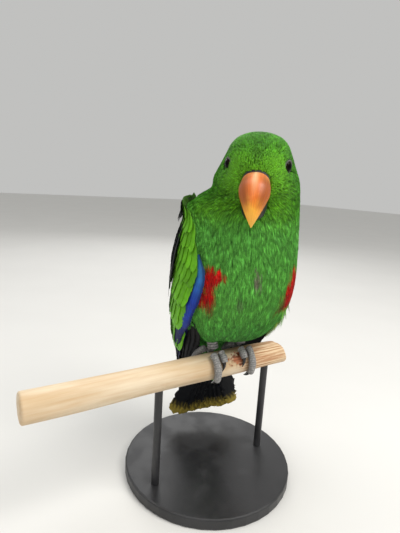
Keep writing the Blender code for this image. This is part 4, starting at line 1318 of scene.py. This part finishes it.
def make_tail():
    draw = np.random.default_rng(SEED + 5)
    lots = []
    t = np.linspace(0, 1, 6)[None, :, None]
    ahead, _ = tilted(np.float64(BODY_YAW), np.float64(TAIL_LEAN))
    for row in TAIL_ROWS:
        n = row.count
        spread = np.linspace(-1, 1, n)
        outer = np.abs(spread)
        shift = np.stack([np.full(n, row.rise), spread * row.root, np.full(n, row.up)], 1)
        root = np.array(TAIL_ROOT) + shift
        tip = blend(np.array(TAIL_ROOT), np.array(TAIL_TIP), row.reach)
        higher = TAIL_ROUND * outer**2 + TAIL_TILT * spread * row.reach
        tip = tip + np.stack([row.rise + TAIL_ARCH * outer, spread * row.tip, higher], 1)
        tip = tip + draw.normal(0, 1, (n, 3)) * (0, 0.0008, 0.0010)
        line = root[:, None] + (tip - root)[:, None] * t
        line[..., 0] -= TAIL_SAG * np.sin(math.pi * t[..., 0])
        spines = from_body(line[..., :1], line[..., 1:2], line[..., 2:])
        normals = np.broadcast_to(-ahead, spines.shape)
        if row.kind == "undercovert":
            normals = -normals
        widths = np.full(n, row.width)
        maps = np.stack([0.5 + 0.4 * spread, np.full(n, 0.9 - 0.5 * row.reach)], 1)
        tilt = np.radians(6.5) * np.sign(spread) * (-1 if row.kind == "undercovert" else 1)
        if row.kind == "feather":
            tops, bottoms = tail_top(spread), tail_under
        elif row.kind == "covert":
            tops, bottoms = plain(GREENS["back"]), plain(INK * 2)
        else:
            tops, bottoms = plain(GREENS["belly"] * 0.7), plain(INK * 2)
        lots.append(
            vane_arrays(
                spines, normals, widths, tops, bottoms, maps, draw, 44, 9,
                tilt=tilt, curve=0.5, tip=0.86 if row.kind == "feather" else 0.6, fray=0.12, split=0.014,
            )
        )
    tail = feather_piece("tail_feathers", combined(lots), VANE)
    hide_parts("tail")


# Skin
SKIN_DEPTH = 0.0026
SKIN_VOXEL = 0.0015


def make_skin():
    mesh = fused("skin", body_parts(-SKIN_DEPTH), SKIN_VOXEL, 4)
    mesh.name = "skin"
    points, _, _ = read_mesh(mesh)
    points = points.astype(float)
    place, angle = body_places(points)
    draw = np.random.default_rng(SEED + 9)
    # The skin is painted at 0.8 of the plumage's colour: painted shade under the coat
    paint(mesh, "tint", np.clip(spotted(points, plumage_colour(points), draw) * 0.8, 0, 1))
    mark(mesh, "blade", np.stack([angle / math.pi, place / BODY_END, np.zeros(len(place))], 1))
    unwrap(mesh, body_map(place, angle))
    skin = piece("skin", mesh, skin_material())
    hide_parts("head", "neck", "torso", "thigh_left", "thigh_right")


# Head
def bill_material(name, stops, roughness, ridge, painted_light=None):
    """Horn coloured from root to tip, with fine lines along it and a light gloss coat; on the upper bill,
    painted shade darkens the flanks and a painted highlight runs down the top ridge.
    """
    made, tree, shader = material(name)
    horn = attribute(tree, "horn")
    parts = axes(tree, horn)
    blotch = noise(tree, 160.0, 4.0)
    along = math_node(tree, "ADD", parts[0], between(tree, blotch, 0.3, 0.7, -0.06, 0.06))
    ramp = node(tree, "ShaderNodeValToRGB", {0: along})
    while len(ramp.color_ramp.elements) < len(stops):
        ramp.color_ramp.elements.new(0.5)
    for element, (position, colour) in zip(ramp.color_ramp.elements, stops):
        element.position = position
        element.color = (*colour, 1)
    lines = noise(tree, 1.0, 5.0, stretched(tree, horn, (3.0, 34.0, 1.0)))
    tone = ramp.outputs[0]
    if painted_light is not None:
        # Painted shade on the flanks and a painted highlight down the top ridge, fading towards the tip
        side = product(
            tree,
            between(tree, parts[1], 0.35, 0.66),
            between(tree, parts[1], 0.94, 0.78),
            between(tree, parts[0], 0.08, 0.26),
            between(tree, parts[0], 0.80, 0.55, 0.0, 0.75),
        )
        faded = between(tree, parts[0], 0.6, 0.2, 0.0, 0.55)
        ridge_highlight = product(tree, between(tree, parts[1], 0.90, 1.0), faded)
        tone = mixed(tree, side, tone, painted_light[0])
        tone = mixed(tree, ridge_highlight, tone, painted_light[1])
    colour = scaled(tree, tone, between(tree, lines, 0.3, 0.7, 0.88, 1.1))
    set_shader(tree, shader, Base_Color=colour, Specular_IOR_Level=0.4, Coat_Weight=0.08)
    set_shader(tree, shader, Coat_Roughness=0.3, Subsurface_Weight=0.04)
    set_shader(tree, shader, Subsurface_Radius=(0.004, 0.0015, 0.0006), Subsurface_Scale=0.5)
    set_shader(tree, shader, Roughness=between(tree, blotch, 0.3, 0.7, roughness - 0.06, roughness + 0.08))
    set_shader(tree, shader, Normal=bumped(tree, lines, ridge))
    return made


UPPER_STOPS = [
    (0.00, rgb(226, 186, 140)),
    (0.09, rgb(222, 140, 84)),
    (0.26, rgb(214, 110, 44)),
    (0.50, rgb(224, 112, 28)),
    (0.74, rgb(255, 178, 56)),
    (1.00, rgb(252, 190, 76)),
]
# Painted shade for the upper bill's flanks, then a painted highlight for its top ridge
BILL_PAINTED_LIGHT = (rgb(140, 70, 22), rgb(250, 208, 160))
LOWER_STOPS = [(0.0, rgb(12, 12, 14)), (0.7, rgb(16, 16, 18)), (1.0, rgb(40, 38, 36))]


def make_bill():
    for name, slices, powers, stops, painted_light, slot in (
        ("bill_upper", UPPER_SLICES, UPPER_POWERS, UPPER_STOPS, BILL_PAINTED_LIGHT, "bill_orange"),
        ("bill_lower", LOWER_SLICES, LOWER_POWERS, LOWER_STOPS, None, "bill_black"),
    ):
        rows, columns = 72, 64
        rings = bill_rings(slices, rows, columns, *powers)
        points, faces = loft(rings)
        mesh = mesh_of(name, points, faces)
        along = np.repeat(np.linspace(0, 1, rows), columns)
        around = np.tile(np.linspace(0, 1, columns, endpoint=False), rows)
        side = np.abs(around - 0.5) * 2
        horn = np.stack([along, side, np.zeros_like(along)], 1)
        horn = np.concatenate([horn, [[0, 0, 0]], [[1, 0, 0]]])
        mark(mesh, "horn", horn)
        finish = bill_material(f"{name}_horn", stops, 0.42, 0.00006, painted_light)
        made = piece(f"{name}_horn", mesh, finish)
        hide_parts(name)


def skin_grey_material(name, colour, scale):
    """Bare scaly skin."""
    made, tree, shader = material(name)
    lump = grains(tree, scale)
    patchy = between(tree, noise(tree, 300.0), 0.3, 0.7, 0.85, 1.15)
    base = scaled(tree, mixed(tree, lump, colour * 0.62, colour * 1.25), patchy)
    set_shader(tree, shader, Base_Color=base, Roughness=0.55, Specular_IOR_Level=0.4)
    set_shader(tree, shader, Normal=bumped(tree, lump, 0.0002))
    return made


LID_GREY = skin_grey_material("lid_skin", rgb(110, 110, 102), 1800.0)
CERE_GREY = skin_grey_material("cere_skin", rgb(74, 74, 76), 1500.0)


def ring_frame(axis):
    first = unit(np.cross(axis, UP))
    return first, np.cross(first, axis)


def make_eye(name, side):
    """Eyeball with iris and pupil, and the ring of its lids."""
    centre, outward = eye_place(side)
    across, upward = ring_frame(outward)
    rows, columns = 40, 64
    polar = np.linspace(0, math.pi, rows)[:, None]
    turn = full_turn(columns)[None]
    bulge = 0.00035 * np.exp(-((polar / 0.55) ** 2))
    aside, rise = np.sin(polar) * np.cos(turn), np.sin(polar) * np.sin(turn)
    spoke = across * aside[..., None] + upward * rise[..., None]
    rings = centre + (spoke + outward * np.cos(polar)[..., None] * np.ones_like(turn)[..., None]) * (
        EYE_RADIUS - 0.0002 + bulge
    )[..., None]
    points, faces = loft(rings)
    mesh = mesh_of(name, points, faces)
    off = np.concatenate([np.repeat(polar[:, 0], columns), [0, math.pi]])
    mark(mesh, "gaze", np.stack([off, np.zeros_like(off), np.zeros_like(off)], 1))
    eye = piece(f"{name}_ball", mesh, EYE)
    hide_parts(name)
    rim_at = math.sqrt(EYE_RADIUS**2 - LID_RADIUS**2)
    turns = full_turn(72)
    rolls = full_turn(18)
    draw = np.random.default_rng(SEED + side)
    bead = 1 + 0.10 * np.sin(turns * 22) + draw.normal(0, 0.03, len(turns))
    thick = 0.00050 * bead * (1 + 0.18 * np.abs(np.sin(turns)))
    opening = LID_RADIUS * (1 - 0.07 * np.abs(np.sin(turns)) ** 3)
    ring = []
    for angle, size, wide in zip(turns, thick, opening):
        out = across * math.cos(angle) + upward * math.sin(angle)
        middle = centre + out * (wide + size * 0.55) + outward * (rim_at + 0.00005)
        ring.append(
            [
                middle + out * size * 1.15 * math.cos(r) + outward * size * 0.8 * math.sin(r)
                for r in rolls
            ]
        )
    ring = np.array(ring)
    points = ring.reshape(-1, 3)
    quads = grid_faces(len(turns) + 1, len(rolls), True) % len(points)
    piece(f"{name}_lids", mesh_of(f"{name}_lids", points, quads), LID_GREY)


def eye_material():
    made, tree, shader = material("eye")
    off = axes(tree, attribute(tree, "gaze"))[0]
    iris = mixed(tree, between(tree, off, 0.52, 0.58), rgb(3, 2, 2), rgb(26, 13, 8))
    iris = mixed(tree, between(tree, off, 0.66, 0.80), iris, rgb(14, 9, 7))
    set_shader(tree, shader, Base_Color=iris, Roughness=0.16, Specular_IOR_Level=0.06)
    set_shader(tree, shader, Coat_Weight=0.03, Coat_Roughness=0.04)
    return made


EYE = eye_material()


CERE_TURN = 78


def make_cere():
    """The low band of bare skin over the bill's root."""
    turns = np.radians(np.linspace(-CERE_TURN, CERE_TURN, 60))
    slices = np.array(UPPER_SLICES)
    rings = []
    for turn in turns:
        fade = math.cos(turn / math.radians(CERE_TURN) * math.pi / 2) ** 0.5
        row = []
        for k in range(14):
            roll = math.pi * k / 13
            place = 0.62 - 0.62 * math.cos(roll) * 0.5 - 0.31
            lift = 0.0014 * fade * math.sin(roll) - 0.0002
            value = smooth_rows(slices, np.float64(place))
            top, low = value[:2], value[2:4]
            middle, half = (top + low) / 2, (top - low) / 2
            size = np.linalg.norm(half)
            up = middle + half * math.cos(turn) * (1 + lift / size)
            row.append(from_head(up[0], math.sin(turn) * (value[4] + lift), up[1]))
        rings.append(row)
    points, faces = loft(rings)
    piece("cere", mesh_of("cere", points, faces), CERE_GREY)


# Feet
TOES = [
    ("front_outer", 0.0043, -0.0008, 24, 118, 38, 0.0),
    ("front_inner", -0.0043, 0.0000, 24, 60, 27, -0.0026),
    ("back_outer", 0.0043, 0.0070, -24, -110, -36, 0.0),
    ("back_inner", -0.0043, -0.0030, -24, -66, -28, 0.0),
]
TOE_RADIUS = 0.0036
CLAW_RADIUS = 0.0021
CLAW_TAPER = 0.85
SCUTE_LENGTH = 0.00165
SCUTE_RISE = 0.00036
PAD_LENGTH = 0.0045
PAD_RISE = 0.0002


def toe_material():
    """Grey scutes with dark creases between them, lighter on their crowns partly by their own paler grey and
    partly as painted highlight, and scattered painted glints.
    """
    made, tree, shader = material("toe_scutes")
    scale = attribute(tree, "scute")
    parts = axes(tree, scale)
    grain = grains(tree, 1500.0)
    crown = mixed(tree, parts[0], rgb(44, 44, 46), rgb(158, 156, 154))
    # Painted glints: near-white specks scattered over the scutes
    glint = between(tree, noise(tree, 700.0, 3.0), 0.52, 0.72, 0.0, 0.8)
    crown = mixed(tree, glint, crown, rgb(214, 210, 204))
    base = scaled(tree, crown, between(tree, grain, 0.0, 1.0, 0.75, 1.1))
    set_shader(tree, shader, Base_Color=base, Roughness=0.42, Specular_IOR_Level=0.5)
    set_shader(tree, shader, Normal=bumped(tree, grain, 0.00012))
    return made


TOE = toe_material()


def claw_material():
    made, tree, shader = material("claw_horn")
    base = mixed(tree, noise(tree, 500.0, 3.0), rgb(12, 12, 14), rgb(48, 46, 46))
    set_shader(tree, shader, Base_Color=base, Roughness=0.24, Coat_Weight=0.4, Coat_Roughness=0.15)
    return made


CLAW = claw_material()


def make_toe(name, toe):
    label, offset, splay, start, end, claw_turn, drift = toe
    rows, columns = 90, 28
    share = np.linspace(0, 1, rows)
    turn = np.radians(start + (end - start) * share)
    length = abs(math.radians(end - start)) * (PERCH_RADIUS + TOE_RADIUS)
    swell = 1 - 0.06 * (1 - np.cos(math.pi * share * 3.5))
    plates = max(round(length / SCUTE_LENGTH), 4)
    phase = (share * plates) % 1
    plate = np.sin(math.pi * np.clip(phase * 1.06, 0, 1)) ** 0.5
    roll = full_turn(columns)
    back = np.clip(np.sin(roll), 0, 1) ** 0.6
    pads = 0.5 + 0.5 * np.cos(2 * math.pi * share * max(round(length / PAD_LENGTH), 1))
    radius = TOE_RADIUS * 0.97 * swell[:, None] * np.ones(columns)
    radius = radius + SCUTE_RISE * (plate[:, None] - 0.6) * back
    radius = radius + PAD_RISE * (pads[:, None] - 0.5) * np.clip(-np.sin(roll), 0, 1)
    ends = np.minimum(ease(share, -0.02, 0.05), 1) * (0.86 + 0.14 * (1 - ease(share, 0.93, 1.0)))
    radius = radius * ends[:, None]
    x = FOOT_PLACES[name] + SIDES[name] * (offset + splay * share)
    rings = on_perch(
        x[:, None] + radius * np.cos(roll) * 1.02, turn[:, None], TOE_RADIUS + GAP + radius * np.sin(roll)
    )
    points, faces = loft(rings)
    mesh = mesh_of(f"toe_{label}_{name}", points, faces)
    scute = np.zeros((len(points), 3))
    # Lighter on the scutes' crowns over the toe's top: partly the scales' own paler grey, partly painted
    # highlight
    scute[:-2, 0] = (0.35 + 0.65 * (plate[:, None] * back + 0.35 * (1 - back))).ravel()
    scute[-2:, 0] = 0.5
    mark(mesh, "scute", scute)
    made = piece(f"toe_skin_{label}_{name}", mesh, TOE)
    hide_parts(f"toe_{label}_{name}")

    first = end + math.copysign(math.degrees(GAP / PERCH_RADIUS), end)
    share = np.linspace(-0.06, 1, 40)
    turn = np.radians(first + claw_turn * share)
    radius = CLAW_RADIUS * 1.02 * (1 - CLAW_TAPER * np.clip(share, 0, 1) ** 1.4)
    spread = (first + claw_turn * share - start) / (end - start)
    x = FOOT_PLACES[name] + SIDES[name] * (offset + splay * spread) + drift * np.clip(share, 0, 1) ** 2
    roll = full_turn(24)
    rings = on_perch(
        x[:, None] + radius[:, None] * 0.86 * np.cos(roll),
        turn[:, None],
        CLAW_RADIUS + GAP + radius[:, None] * np.sin(roll),
    )
    points, faces = loft(rings)
    made = piece(f"claw_horn_{label}_{name}", mesh_of("claw", points, faces), CLAW)
    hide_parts(f"claw_{label}_{name}")


def make_shank(name):
    path = leg_path(name)
    t = np.linspace(0, 3, 40)
    line = smooth_rows(path, t)
    radii = smooth_rows([LEG_RADIUS, LEG_RADIUS, LEG_RADIUS * 1.15, PAD_RADIUS * PAD_FLAT], t)
    radii = radii * (1 + 0.03 * np.sin(t * 3 * 2 * math.pi))
    points, faces = loft(tube(line, radii, 28))
    mesh = mesh_of(f"shank_{name}", points, faces)
    scute = np.zeros((len(points), 3))
    scute[:-2, 0] = np.repeat(0.5 + 0.4 * np.sin(t * 3 * 2 * math.pi), 28)
    mark(mesh, "scute", scute)
    made = piece(f"shank_skin_{name}", mesh, TOE)
    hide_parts(f"leg_{name}")


# Perch and stand
CHEWED_PLACE = (0.0125, -0.0175, 0.1175)
CHEWED_REACH = (0.0110, 0.0070, 0.0062)
PERCH_EDGE = 0.0011
KNOTS = [(-0.118, 0.9, 0.0065), (-0.062, -1.6, 0.0050)]


def wood_material():
    """Peeled pale branch: grain along it, faint knots, and a chewed reddish patch between the feet."""
    made, tree, shader = material("peeled_wood")
    where = object_place(tree)
    grain = noise(tree, 1.0, 6.0, stretched(tree, where, (16.0, 620.0, 620.0)), 0.62)
    broad = noise(tree, 1.0, 3.0, stretched(tree, where, (14.0, 90.0, 90.0)))
    parts = axes(tree, where)
    right = between(tree, parts[0], 0.006, 0.030)
    smooth = mixed(tree, between(tree, broad, 0.3, 0.7), rgb(208, 180, 142), rgb(230, 212, 184))
    strong = mixed(tree, between(tree, grain, 0.36, 0.64), rgb(178, 122, 80), rgb(236, 210, 172))
    base = mixed(tree, between(tree, grain, 0.30, 0.60), mixed(tree, 0.25, smooth, rgb(196, 146, 96)), smooth)
    base = mixed(tree, right, base, strong)
    offset = {0: where, 1: CHEWED_PLACE}
    near = node(tree, "ShaderNodeVectorMath", offset, operation="SUBTRACT").outputs[0]
    near = stretched(tree, near, tuple(1 / reach for reach in CHEWED_REACH))
    far = node(tree, "ShaderNodeVectorMath", {0: near}, operation="LENGTH").outputs["Value"]
    far = math_node(tree, "ADD", far, between(tree, noise(tree, 260.0, 4.0), 0.3, 0.7, -0.35, 0.35))
    chewed = between(tree, far, 0.75, 1.1, 1.0, 0.0)
    torn = mixed(tree, between(tree, grain, 0.4, 0.6), rgb(104, 54, 34), rgb(190, 120, 84))
    base = mixed(tree, chewed, base, torn)
    set_shader(tree, shader, Base_Color=base, Roughness=0.62, Specular_IOR_Level=0.3)
    height = math_node(tree, "MULTIPLY", grain, between(tree, right, 0.0, 1.0, 0.25, 1.0))
    height = math_node(tree, "SUBTRACT", height, math_node(tree, "MULTIPLY", chewed, 0.8))
    set_shader(tree, shader, Normal=bumped(tree, height, 0.0006))
    return made


def make_perch():
    rows, columns = 260, 96
    x = np.linspace(PERCH_LEFT, PERCH_RIGHT, rows)
    turn = full_turn(columns)
    radius = np.full((rows, columns), PERCH_RADIUS)
    radius -= 0.0003 * (1 - np.cos((x - FEET[0]) / 0.026))[:, None]
    away = ease(np.abs(x - FEET[0]), 0.020, 0.045)[:, None]
    wobble = 0.00022 * np.sin(turn * 3 + x[:, None] * 30) + 0.00012 * np.sin(turn * 7 - x[:, None] * 55)
    radius += wobble * away - 0.0002 * away
    for knot_x, knot_turn, size in KNOTS:
        swing = np.abs((turn - knot_turn + math.pi) % (2 * math.pi) - math.pi) * PERCH_RADIUS
        distance = np.hypot((x - knot_x)[:, None] / size, swing / (size * 0.7))
        radius += 0.0005 * np.exp(-(distance**2) * 1.6) - 0.0004 * np.exp(-(distance**2) * 9)
    whittled = ease(x, PERCH_RIGHT - 0.010, PERCH_RIGHT)[:, None]
    radius -= whittled * 0.0032 * np.clip(np.cos(turn - 0.5), 0, 1) ** 2
    edge = np.minimum(x - PERCH_LEFT, PERCH_RIGHT - x)
    bevel = PERCH_EDGE * (1 - np.sqrt(np.clip(edge / PERCH_EDGE, 0, 1)))
    radius -= bevel[:, None]
    cut = np.clip((x - PERCH_RIGHT + 0.02) / 0.02, 0, 1)[:, None]
    rings = np.stack(
        [
            x[:, None] - PERCH_SLANT / 2 * (1 + np.cos(turn)) * cut,
            FEET[1] + np.sin(turn) * radius,
            PERCH_AXIS_Z + np.cos(turn) * radius,
        ],
        -1,
    )
    points, faces = loft(rings)
    perch = piece("perch_branch", mesh_of("perch_branch", points, faces), wood_material())
    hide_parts("perch")


def stand_material():
    """Black satin paint with a faint orange-peel and rubbed patches."""
    made, tree, shader = material("stand_paint")
    rubbed = between(tree, noise(tree, 45.0, 4.0), 0.35, 0.7)
    base = mixed(tree, rubbed, rgb(34, 34, 36), rgb(48, 48, 50))
    set_shader(tree, shader, Base_Color=base, Specular_IOR_Level=0.5)
    set_shader(tree, shader, Roughness=between(tree, rubbed, 0.0, 1.0, 0.36, 0.5))
    set_shader(tree, shader, Normal=bumped(tree, noise(tree, 900.0, 2.0), 0.00006))
    return made


def finish_stand():
    paint_finish = stand_material()
    for name in ("stand_base", "stand_rod_left", "stand_rod_right"):
        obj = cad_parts[name]
        obj.data.materials.clear()
        obj.data.materials.append(paint_finish)


# Room, light and camera
FLOOR_COLOUR = rgb(224, 223, 220)
CAMERA_SHIFT = np.array([-0.2203, -0.2813, 0.1492])
CAMERA_HEADING = math.radians(32.92)
CAMERA_PITCH = math.radians(11.4)
CAMERA_ROLL = math.radians(3.5)
FOCAL_PIXELS = 405
IMAGE_SIZE = (400, 533)
SENSOR = 36.0


def make_room():
    made, tree, shader = material("floor")
    base = mixed(tree, noise(tree, 6.0, 2.0), FLOOR_COLOUR * 0.97, FLOOR_COLOUR * 1.03)
    set_shader(tree, shader, Base_Color=base, Roughness=0.85, Specular_IOR_Level=0.2)
    size = 6.0
    corners = [(-size, -size, 0), (size, -size, 0), (size, size, 0), (-size, size, 0)]
    floor = placed("floor", mesh_of("floor", corners, [(0, 1, 2, 3)]))
    floor.data.materials.append(made)
    world = bpy.data.worlds.new("studio")
    bpy.context.scene.world = world
    world.use_nodes = True
    back = world.node_tree.nodes["Background"]
    back.inputs["Color"].default_value = (*rgb(226, 226, 224), 1)
    back.inputs["Strength"].default_value = 0.70


def area_light(name, direction, distance, size, power, colour=(1, 1, 1)):
    lamp = bpy.data.lights.new(name, "AREA")
    lamp.shape = "DISK"
    lamp.size = size
    lamp.energy = power
    lamp.color = colour
    obj = placed(name, lamp)
    aim = Vector(FEET + UP * 0.08)
    way = Vector(direction).normalized()
    obj.location = aim + way * distance
    obj.rotation_euler = way.to_track_quat("Z", "Y").to_euler()


def make_light():
    area_light("key", (0.40, -0.80, 1.15), 1.3, 0.8, 14, (1.0, 0.98, 0.94))
    area_light("fill", (-1.0, -0.45, 0.6), 1.5, 1.2, 3, (0.96, 0.98, 1.0))
    area_light("top", (-0.2, 0.3, 1.0), 1.4, 1.0, 5)
    area_light("back", (0.5, 1.0, 0.6), 1.5, 0.9, 4)


def make_camera():
    level = np.array([math.sin(CAMERA_HEADING), math.cos(CAMERA_HEADING), 0])
    right = np.array([math.cos(CAMERA_HEADING), -math.sin(CAMERA_HEADING), 0])
    ahead = level * math.cos(CAMERA_PITCH) - UP * math.sin(CAMERA_PITCH)
    above = level * math.sin(CAMERA_PITCH) + UP * math.cos(CAMERA_PITCH)
    side = right * math.cos(CAMERA_ROLL) + above * math.sin(CAMERA_ROLL)
    top = above * math.cos(CAMERA_ROLL) - right * math.sin(CAMERA_ROLL)
    lens = bpy.data.cameras.new("camera")
    lens.sensor_width = SENSOR
    lens.lens = FOCAL_PIXELS / max(IMAGE_SIZE) * SENSOR
    lens.clip_start = 0.01
    camera = placed("camera", lens)
    turn = Matrix([(*row, 0) for row in np.stack([side, top, -ahead], 1)] + [(0, 0, 0, 1)])
    camera.matrix_world = Matrix.Translation(Vector(FEET + CAMERA_SHIFT)) @ turn
    bpy.context.scene.camera = camera


bpy.context.scene.view_settings.view_transform = "Standard"
make_camera()
make_room()
make_light()
make_skin()
make_coat()
make_flank_tuft()
for wing_name in SIDES:
    make_wing(wing_name)
make_tail()
make_bill()
make_cere()
make_eye("eye_left", 1)
make_eye("eye_right", -1)
for foot_name in SIDES:
    make_shank(foot_name)
    for foot_toe in TOES:
        make_toe(foot_name, foot_toe)
make_perch()
finish_stand()
